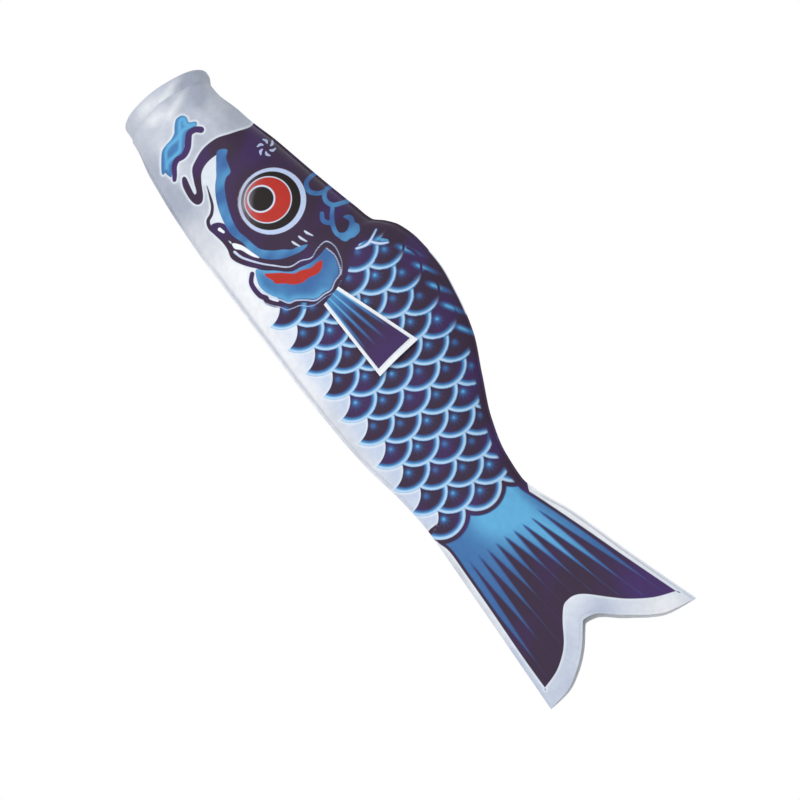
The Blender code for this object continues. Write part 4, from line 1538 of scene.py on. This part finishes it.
@dataclass(frozen=True)
class Span:
    """One length of the body's cloth.

    It has its stations, its grid, the bodies it joins, where it bends, the nodes it stands for and the
    piece that holds it.
    """

    name: str
    start: float
    end: float
    rows: int
    columns: int
    bodies: tuple[str, str]
    bend: tuple[float, float]
    stands_for: tuple[str, ...]
    held_by: str


SPANS = (
    Span(
        "head", HEM_LENGTH, 0.200, 204, 172, ("mouth_ring", "front_body"), (0.013, 0.045),
        ("neck_cloth", "front_panel"), "mouth_hoop",
    ),
    Span(
        "shoulder", 0.200, 0.440, 236, 184, ("front_body", "rear_body"), (0.345, 0.395),
        ("waist_cloth",), "{side}_head_cloth",
    ),
    Span(
        "tail", 0.440, TIP_STATION, 220, 150, ("rear_body", "tail"), (0.498, 0.526),
        ("rear_panel", "tail_root_cloth", "tail_panel"), "{side}_shoulder_cloth",
    ),
)


@dataclass(frozen=True)
class BodyCloth:
    """One printed cloth side, from the mouth hem to the forked tail."""

    side: Side
    finishes: Finishes
    seam_steps: int = 2

    @property
    def word(self) -> str:
        """Name of the side."""
        return self.side.name.lower()

    def turns(self, columns: int) -> Array:
        """Turns from seam to seam, half way between even heights and even angles."""
        share = np.linspace(0, 1, columns)
        return (share + np.arccos(1 - 2 * share) / math.pi) / 2

    def allowance(self, stations: Array) -> Array:
        """Depth of the seam allowance, almost nothing at the mouth and full behind the neck."""
        return SEAM_ALLOWANCE * (0.08 + 0.92 * smooth_step(0.020, 0.050, stations))

    def skin(self, stations: Array, turns: Array) -> Array:
        """Outer face with its folds, and the flat allowances outside both seams."""
        smooth = BODY.point(stations, turns, self.side)
        normals = grid_normals(smooth, self.side)
        relief = RELIEF.height(stations, turns, self.side) * np.sin(math.pi * turns).clip(0) ** 0.35
        around = self.side.value * math.pi * turns
        moved = relief + drawn_in(stations, around)
        folded = smooth + moved[..., None] * normals
        steps = np.arange(self.seam_steps, 0, -1) / self.seam_steps
        drop = (self.allowance(stations[:, :1]) * steps)[..., None] * np.array([0, 0, 1.0])
        return np.concatenate([folded[:, :1] - drop, folded, folded[:, -1:] + drop[:, ::-1]], axis=1)

    def stations(self, span: Span, turns: Array) -> Array:
        """Grid of stations, whose last row follows the fork on the tail."""
        share = np.linspace(0, 1, span.rows)[:, None]
        if span.name != "tail":
            return span.start + (span.end - span.start) * share + 0 * turns
        edge = BODY.trailing_edge(turns)
        return span.start + (edge - span.start) * share

    def build(self, span: Span) -> bpy.types.Object:
        turns = self.turns(span.columns)[None, :]
        stations = self.stations(span, turns)
        points = self.skin(stations, turns + 0 * stations)
        flat = points.reshape(-1, 3)
        at = np.stack([flat[:, 0] - PRINT_LEAN * np.abs(flat[:, 1]), flat[:, 2]], -1)
        seams = (self.seam_steps, points.shape[1] - 1 - self.seam_steps)
        name = f"{self.word}_{span.name}_cloth"
        sheet = Sheet(name, points, self.side, creases=seams, shares=body_print(at).stored())
        cloth = sheet.build(self.finishes.printed)
        nodes = [f"{self.word}_{node}" for node in span.stands_for]
        declare(points, nodes, span.held_by.format(side=self.word))
        self.bend(cloth, span)
        return cloth

    def bend(self, piece: bpy.types.Object, span: Span) -> None:
        """Bakes the piece's placement into its mesh."""
        start, end = span.bend
        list(span.bodies)
        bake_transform(piece)

    def stitch(self, span: Span) -> None:
        """Sews both seams of one length, through the middle of the allowance."""
        stations = np.linspace(span.start + 0.001, span.end - 0.0035, 400)
        for label, turn, sign in (("belly", 0.0, -1), ("back", 1.0, 1)):
            line = BODY.point(stations, np.full_like(stations, turn), self.side)
            around = np.full_like(stations, self.side.value * math.pi * turn)
            line[:, 2] += sign * (drawn_in(stations, around) + 0.55 * self.allowance(stations))
            name = f"{self.word}_{label}_stitches_{span.name}"
            outward = sideways(self.side, len(line))
            thread = STITCHES.build(name, line, outward, self.finishes.printed)
            print_over(thread)
            self.bend(thread, span)

    def tail_hem(self) -> None:
        """Strip turned in behind the trailing edge, with its row of stitches outside."""
        turns = np.linspace(0.15, 0.85, 90)[None, :]
        edge = BODY.trailing_edge(turns) - 0.0005
        stations = edge - np.linspace(0.0055, 0, 7)[:, None]
        stations, turns = np.broadcast_arrays(stations, turns)
        points = BODY.point(stations, turns, self.side, inset=CLOTH + FIT_GAP)
        sheet = Sheet(f"{self.word}_tail_turned_hem", points, self.side)
        strip = sheet.build(self.finishes.plain)
        holder = f"{self.word}_tail_cloth"
        declare(points, [f"{self.word}_tail_hem"], holder)
        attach(strip, "tail")
        turn = np.linspace(0.03, 0.97, 260)
        station = BODY.trailing_edge(turn) - 0.0042
        line = BODY.point(station, turn, self.side)
        name = f"{self.word}_tail_hem_stitches"
        thread = STITCHES.build(name, line, sideways(self.side, len(line)), self.finishes.thread)
        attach(thread, "tail")


@dataclass(frozen=True)
class MouthHem:
    """Folded band round the mouth: its outer layer, the rolled front edge and the inner layer."""

    finishes: Finishes
    fold_radius: float = 0.0016
    inner_radius: float = field(default_factory=lambda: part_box("mouth_hoop")[1].z - 0.0052)
    stitch_line: float = 0.0095
    steps: int = 361
    outer_rings: int = 14
    puckers: int = 46
    pucker_depth: float = 0.00028

    def profile(self) -> Array:
        """Stations and radii along the outer face, from the stitched end round the front edge."""
        fold = self.fold_radius
        angle = np.linspace(math.pi / 2, 0, 7)
        front = np.stack([fold - fold * np.cos(angle), MOUTH_RADIUS - fold + fold * np.sin(angle)], -1)
        inner = self.inner_radius + fold - fold * np.sin(angle[::-1])
        back = np.stack([fold - fold * np.cos(angle[::-1]), inner], -1)
        rings = self.outer_rings
        outer = np.stack([np.linspace(HEM_LENGTH, fold, rings), np.full(rings, MOUTH_RADIUS)], -1)
        closing = MOUTH_RADIUS - 2 * CLOTH - FIT_GAP
        corners = np.array(
            [
                (0.0054, self.inner_radius), (0.0068, 0.0417),
                (self.stitch_line, closing), (HEM_LENGTH, closing),
            ]
        )
        lining = [np.linspace(corners[k], corners[k + 1], 5)[:-1] for k in range(3)]
        return np.concatenate([outer, front[1:], back, *lining, corners[-1:]])

    def build(self) -> bpy.types.Object:
        """Turns the profile round the mouth, pinched in small puckers along the line of stitches."""
        profile = self.profile()
        turn = np.linspace(0, 2 * math.pi, self.steps)[:, None]
        station, radius = profile[None, :, 0] + 0 * turn, profile[None, :, 1] + 0 * turn
        outside = np.arange(len(profile)) < self.outer_rings
        pinch = bump_at(station, self.stitch_line, 0.0022)
        pucker = 0.6 + 0.4 * np.cos(self.puckers * turn + 1.3 * np.sin(5 * turn))
        radius = radius - np.where(outside, pinch * pucker * self.pucker_depth, 0)
        radius = radius + drawn_in(station, turn)
        roll = 0.0003 * np.cos(3 * turn) + 0.0002 * np.cos(7 * turn + 1.0)
        station = station + roll * (1 - smooth_step(0.0, 0.008, station)) * 0.5
        station = station - 0.0014 * (1 + np.cos(turn)) / 2 * (1 - smooth_step(0.0, 0.012, station))
        points = np.stack([station, radius * np.sin(turn), -radius * np.cos(turn)], -1)
        # Painted shade and painted highlights on the hem, as on the body's cloth.
        shares = {Tint.SHADOW.value: painted_cloth_shade(points.reshape(-1, 3)[:, [0, 2]])}
        hem = Sheet("mouth_hem_cloth", points, Side.LEFT, wrapped=True, shares=shares)
        hem = hem.build(self.finishes.plain)
        declare(points, ["mouth_hem"], "mouth_hoop")
        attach(hem, "mouth_ring")
        return hem

    def stitch(self) -> None:
        """Sews the hem in one round of stitches."""
        turn = np.linspace(0, 2 * math.pi, 600)
        place = np.full_like(turn, self.stitch_line)
        radius = MOUTH_RADIUS - 0.6 * self.pucker_depth + drawn_in(place, turn)
        line = np.stack([place, radius * np.sin(turn), -radius * np.cos(turn)], -1)
        outward = np.stack([0 * turn, np.sin(turn), -np.cos(turn)], -1)
        thread = STITCHES.build("mouth_hem_stitches", line, outward, self.finishes.thread)
        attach(thread, "mouth_ring")


@dataclass(frozen=True)
class PectoralFin:
    """Fin of two layers of cloth, hemmed on three edges and stitched to the body at its root."""

    side: Side
    finishes: Finishes
    length: float = 0.0855
    root_station: float = 0.259
    root_slant: float = 0.005
    tip_slant: float = 0.007
    root_heights: tuple[float, float] = (0.003, 0.024)
    tip_heights: tuple[float, float] = (0.0045, 0.0535)
    root_lift: float = 0.0015
    tip_lift: float = 0.0035
    ripple: float = 0.0003
    hem_roll: float = 0.00022
    stitch_inset: float = 0.0024
    tip_stitch_inset: float = 0.0046
    middle_height: float = 0.034

    @property
    def word(self) -> str:
        """Name of the side."""
        return self.side.name.lower()

    def surface(self, along: Array, up: Array, lift: Array) -> Array:
        """Points above the body's cloth, at shares of the fin's length and height."""
        slant = (self.root_slant + (self.tip_slant - self.root_slant) * along) * (1 - up)
        station = self.root_station + slant + self.length * along
        low = between(self.root_heights[0], self.tip_heights[0], along)
        high = between(self.root_heights[1], self.tip_heights[1], along)
        height = low + (high - low) * up
        return BODY.point(station, BODY.turn_at(station, height), self.side, inset=-lift)

    def rise(self, along: Array, up: Array) -> Array:
        """Height of the fin's outer face over the body, with a slow ripple that grows from the root."""
        waves = self.ripple * np.sin(5.5 * along + 7 * up) * smooth_step(0.0, 0.4, along)
        return between(self.root_lift, self.tip_lift, along) + 2 * CLOTH + waves

    def build(self) -> None:
        """Makes the fin, its stitches and its folded root."""
        along, up = np.meshgrid(np.linspace(0, 1, 92), np.linspace(0, 1, 52), indexing="ij")
        root, tip = (heights[1] - heights[0] for heights in (self.root_heights, self.tip_heights))
        height = between(root, tip, along)
        edge = np.minimum(np.minimum(up, 1 - up) * height, (1 - along) * self.length)
        hem = self.hem_roll * (1 - smooth_step(0.0022, 0.0036, edge))
        points = self.surface(along, up, self.rise(along, up) + hem)
        flat = points.reshape(-1, 3)
        made = PrintField(np.stack([flat[:, 0], flat[:, 2]], -1))
        FinPrint().draw(made, along.ravel(), up.ravel(), self.length, height.ravel())
        made.add(Layer.GLOW, made.layers[Layer.INK])
        name = f"{self.word}_fin"
        fin = Sheet(f"{name}_cloth", points, self.side, thickness=2 * CLOTH, shares=made.stored())
        fin = fin.build(self.finishes.fin)
        declare(points, [f"{self.word}_pectoral_fin"], f"{name}_root")
        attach(fin, name)
        self.stitch(name)
        self.build_root(name)

    def stitch(self, name: str) -> None:
        """Sews the hem along the lower edge, the tip and the upper edge."""
        steps = np.linspace(0, 1, 160)
        low, tip = self.stitch_inset / self.middle_height, 1 - self.tip_stitch_inset / self.length
        high = 1 - low
        along = np.concatenate([0.02 + (tip - 0.02) * steps, tip + 0 * steps, tip - (tip - 0.02) * steps])
        up = np.concatenate([low + 0 * steps, low + (high - low) * steps, high + 0 * steps])
        line = self.surface(along, up, self.rise(along, up))
        outward = sideways(self.side, len(line))
        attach(STITCHES.build(f"{name}_stitches", line, outward, self.finishes.thread), name)

    def build_root(self, name: str) -> None:
        """Folded root under the fin, stitched flat to the body."""
        start = self.root_station + self.root_slant
        station = np.linspace(start, start + 0.006, 9)[:, None]
        height = np.linspace(self.root_heights[0] + 0.0015, self.root_heights[1] - 0.0015, 28)[None, :]
        station, height = np.broadcast_arrays(station, height)
        turn = BODY.turn_at(station, height)
        points = BODY.point(station, turn, self.side, inset=FIT_GAP - self.root_lift)
        strip = Sheet(f"{name}_root", points, self.side).build(self.finishes.plain)
        holder = f"{self.word}_shoulder_cloth"
        declare(points, [f"{self.word}_fin_root_hem"], holder)
        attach(strip, "front_body")


# ---------------------------------------------------------------------- camera and studio


@dataclass(frozen=True)
class Studio:
    """Camera, pale floor and soft lights."""

    target: tuple[float, float, float] = (0.372, 0.0, 0.006)
    azimuth: float = math.radians(17)
    roll: tuple[float, float] = (0.604, 0.798)
    frame_width: float = 0.747
    lens: float = 1000.0
    sensor: float = 36.0
    floor_height: float = -1.5
    floor_radius: float = 12.0
    floor_corners: int = 96
    floor_glow: float = 0.30
    ambient: float = 0.62

    def axes(self) -> tuple[Vector, Vector, Vector]:
        """Right, up and backward directions of the camera, which is turned about its line of sight."""
        level = Vector((math.cos(self.azimuth), math.sin(self.azimuth), 0))
        upright = Vector((0, 0, 1))
        back = Vector((math.sin(self.azimuth), -math.cos(self.azimuth), 0))
        cosine, sine = self.roll
        return cosine * level + sine * upright, cosine * upright - sine * level, back

    def camera(self) -> None:
        """Camera far away with a long lens, so that the view is almost parallel."""
        data = bpy.data.cameras.new("camera")
        data.lens, data.sensor_width = self.lens, self.sensor
        data.clip_start, data.clip_end = 0.1, 200.0
        camera = bpy.data.objects.new("camera", data)
        bpy.context.scene.collection.objects.link(camera)
        right, up, back = self.axes()
        turn = Matrix((right, up, back)).transposed().to_4x4()
        away = self.frame_width * self.lens / self.sensor
        camera.matrix_world = Matrix.Translation(Vector(self.target) + back * away) @ turn
        bpy.context.scene.camera = camera

    def light(self, name: str, towards: Vector, distance: float, size: float, power: float) -> None:
        """Square soft light at a distance from the object, facing it."""
        data = bpy.data.lights.new(name, "AREA")
        data.size, data.energy = size, power
        lamp = bpy.data.objects.new(name, data)
        bpy.context.scene.collection.objects.link(lamp)
        direction = towards.normalized()
        lamp.location = Vector(self.target) + direction * distance
        lamp.rotation_mode = "QUATERNION"
        lamp.rotation_quaternion = direction.to_track_quat("Z", "Y")

    def floor(self) -> None:
        """Round pale floor far below the streamer."""
        corners = self.floor_corners
        turn = np.linspace(0, 2 * math.pi, corners + 1)[:-1]
        rim = np.stack([self.floor_radius * np.cos(turn), self.floor_radius * np.sin(turn), 0 * turn], -1)
        places = np.concatenate([[[0, 0, 0]], rim]) + np.array([0, 0, self.floor_height])
        step = np.arange(corners)
        faces = np.stack([0 * step, step + 1, (step + 1) % corners + 1], -1)
        material, _, shader = new_material("studio_floor")
        shader.inputs["Base Color"].default_value = srgb(246, 246, 246)
        shader.inputs["Roughness"].default_value = 0.9
        shader.inputs["Emission Color"].default_value = srgb(246, 247, 250)
        shader.inputs["Emission Strength"].default_value = self.floor_glow
        mesh_object("studio_floor", places, faces, material)

    def world(self) -> None:
        """Even white surround, brighter to the camera than as light."""
        world = bpy.data.worlds.new("studio")
        bpy.context.scene.world = world
        world.use_nodes = True
        nodes = Nodes(world.node_tree)
        seen = world.node_tree.nodes["Background"]
        seen.inputs["Color"].default_value = (1, 1, 1, 1)
        seen.inputs["Strength"].default_value = 1.0
        lit = nodes.add("ShaderNodeBackground")
        lit.inputs["Color"].default_value = (0.93, 0.96, 1.0, 1)
        lit.inputs["Strength"].default_value = self.ambient
        mixed = nodes.add("ShaderNodeMixShader")
        nodes.feed(mixed.inputs[0], nodes.add("ShaderNodeLightPath").outputs["Is Camera Ray"])
        nodes.feed(mixed.inputs[1], lit.outputs[0])
        nodes.feed(mixed.inputs[2], seen.outputs[0])
        nodes.feed(world.node_tree.nodes["World Output"].inputs[0], mixed.outputs[0])

    def build(self) -> None:
        """Sets the whole studio up."""
        bpy.context.scene.view_settings.view_transform = "Standard"
        self.camera()
        self.floor()
        self.world()
        right, up, back = self.axes()
        self.light("key", back + 0.9 * up - 0.5 * right, 2.2, 1.6, 24.0)
        self.light("fill", back * 0.8 - 0.2 * right - 0.9 * up, 2.4, 2.0, 9.0)
        self.light("behind", -back + 0.8 * Vector((0, 0, 1)) - 0.4 * right, 2.6, 1.8, 7.0)


# ------------------------------------------------------------------------------------ main


def main() -> None:
    """Builds the studio and every piece of the streamer, in order."""
    logging.basicConfig(level=logging.INFO, format="%(message)s")
    Studio().build()
    finishes = Finishes.make()
    for side in Side:
        cloth = BodyCloth(side, finishes)
        for span in SPANS:
            made = cloth.build(span)
            cloth.stitch(span)
            log.info("%s: %d points", made.name, len(made.data.vertices))
        cloth.tail_hem()
        PectoralFin(side, finishes).build()
        log.info("%s side finished", side.name.lower())
    hem = MouthHem(finishes)
    hem.build()
    hem.stitch()
    for node, finish in (("mouth_hoop", finishes.hoop), ("hoop_joiner", finishes.joiner)):
        mesh = frame["nodes"][node].data
        mesh.materials.clear()
        mesh.materials.append(finish)
        log.info("%s keeps its CAD shape", node)


if __name__ == "__main__":
    main()
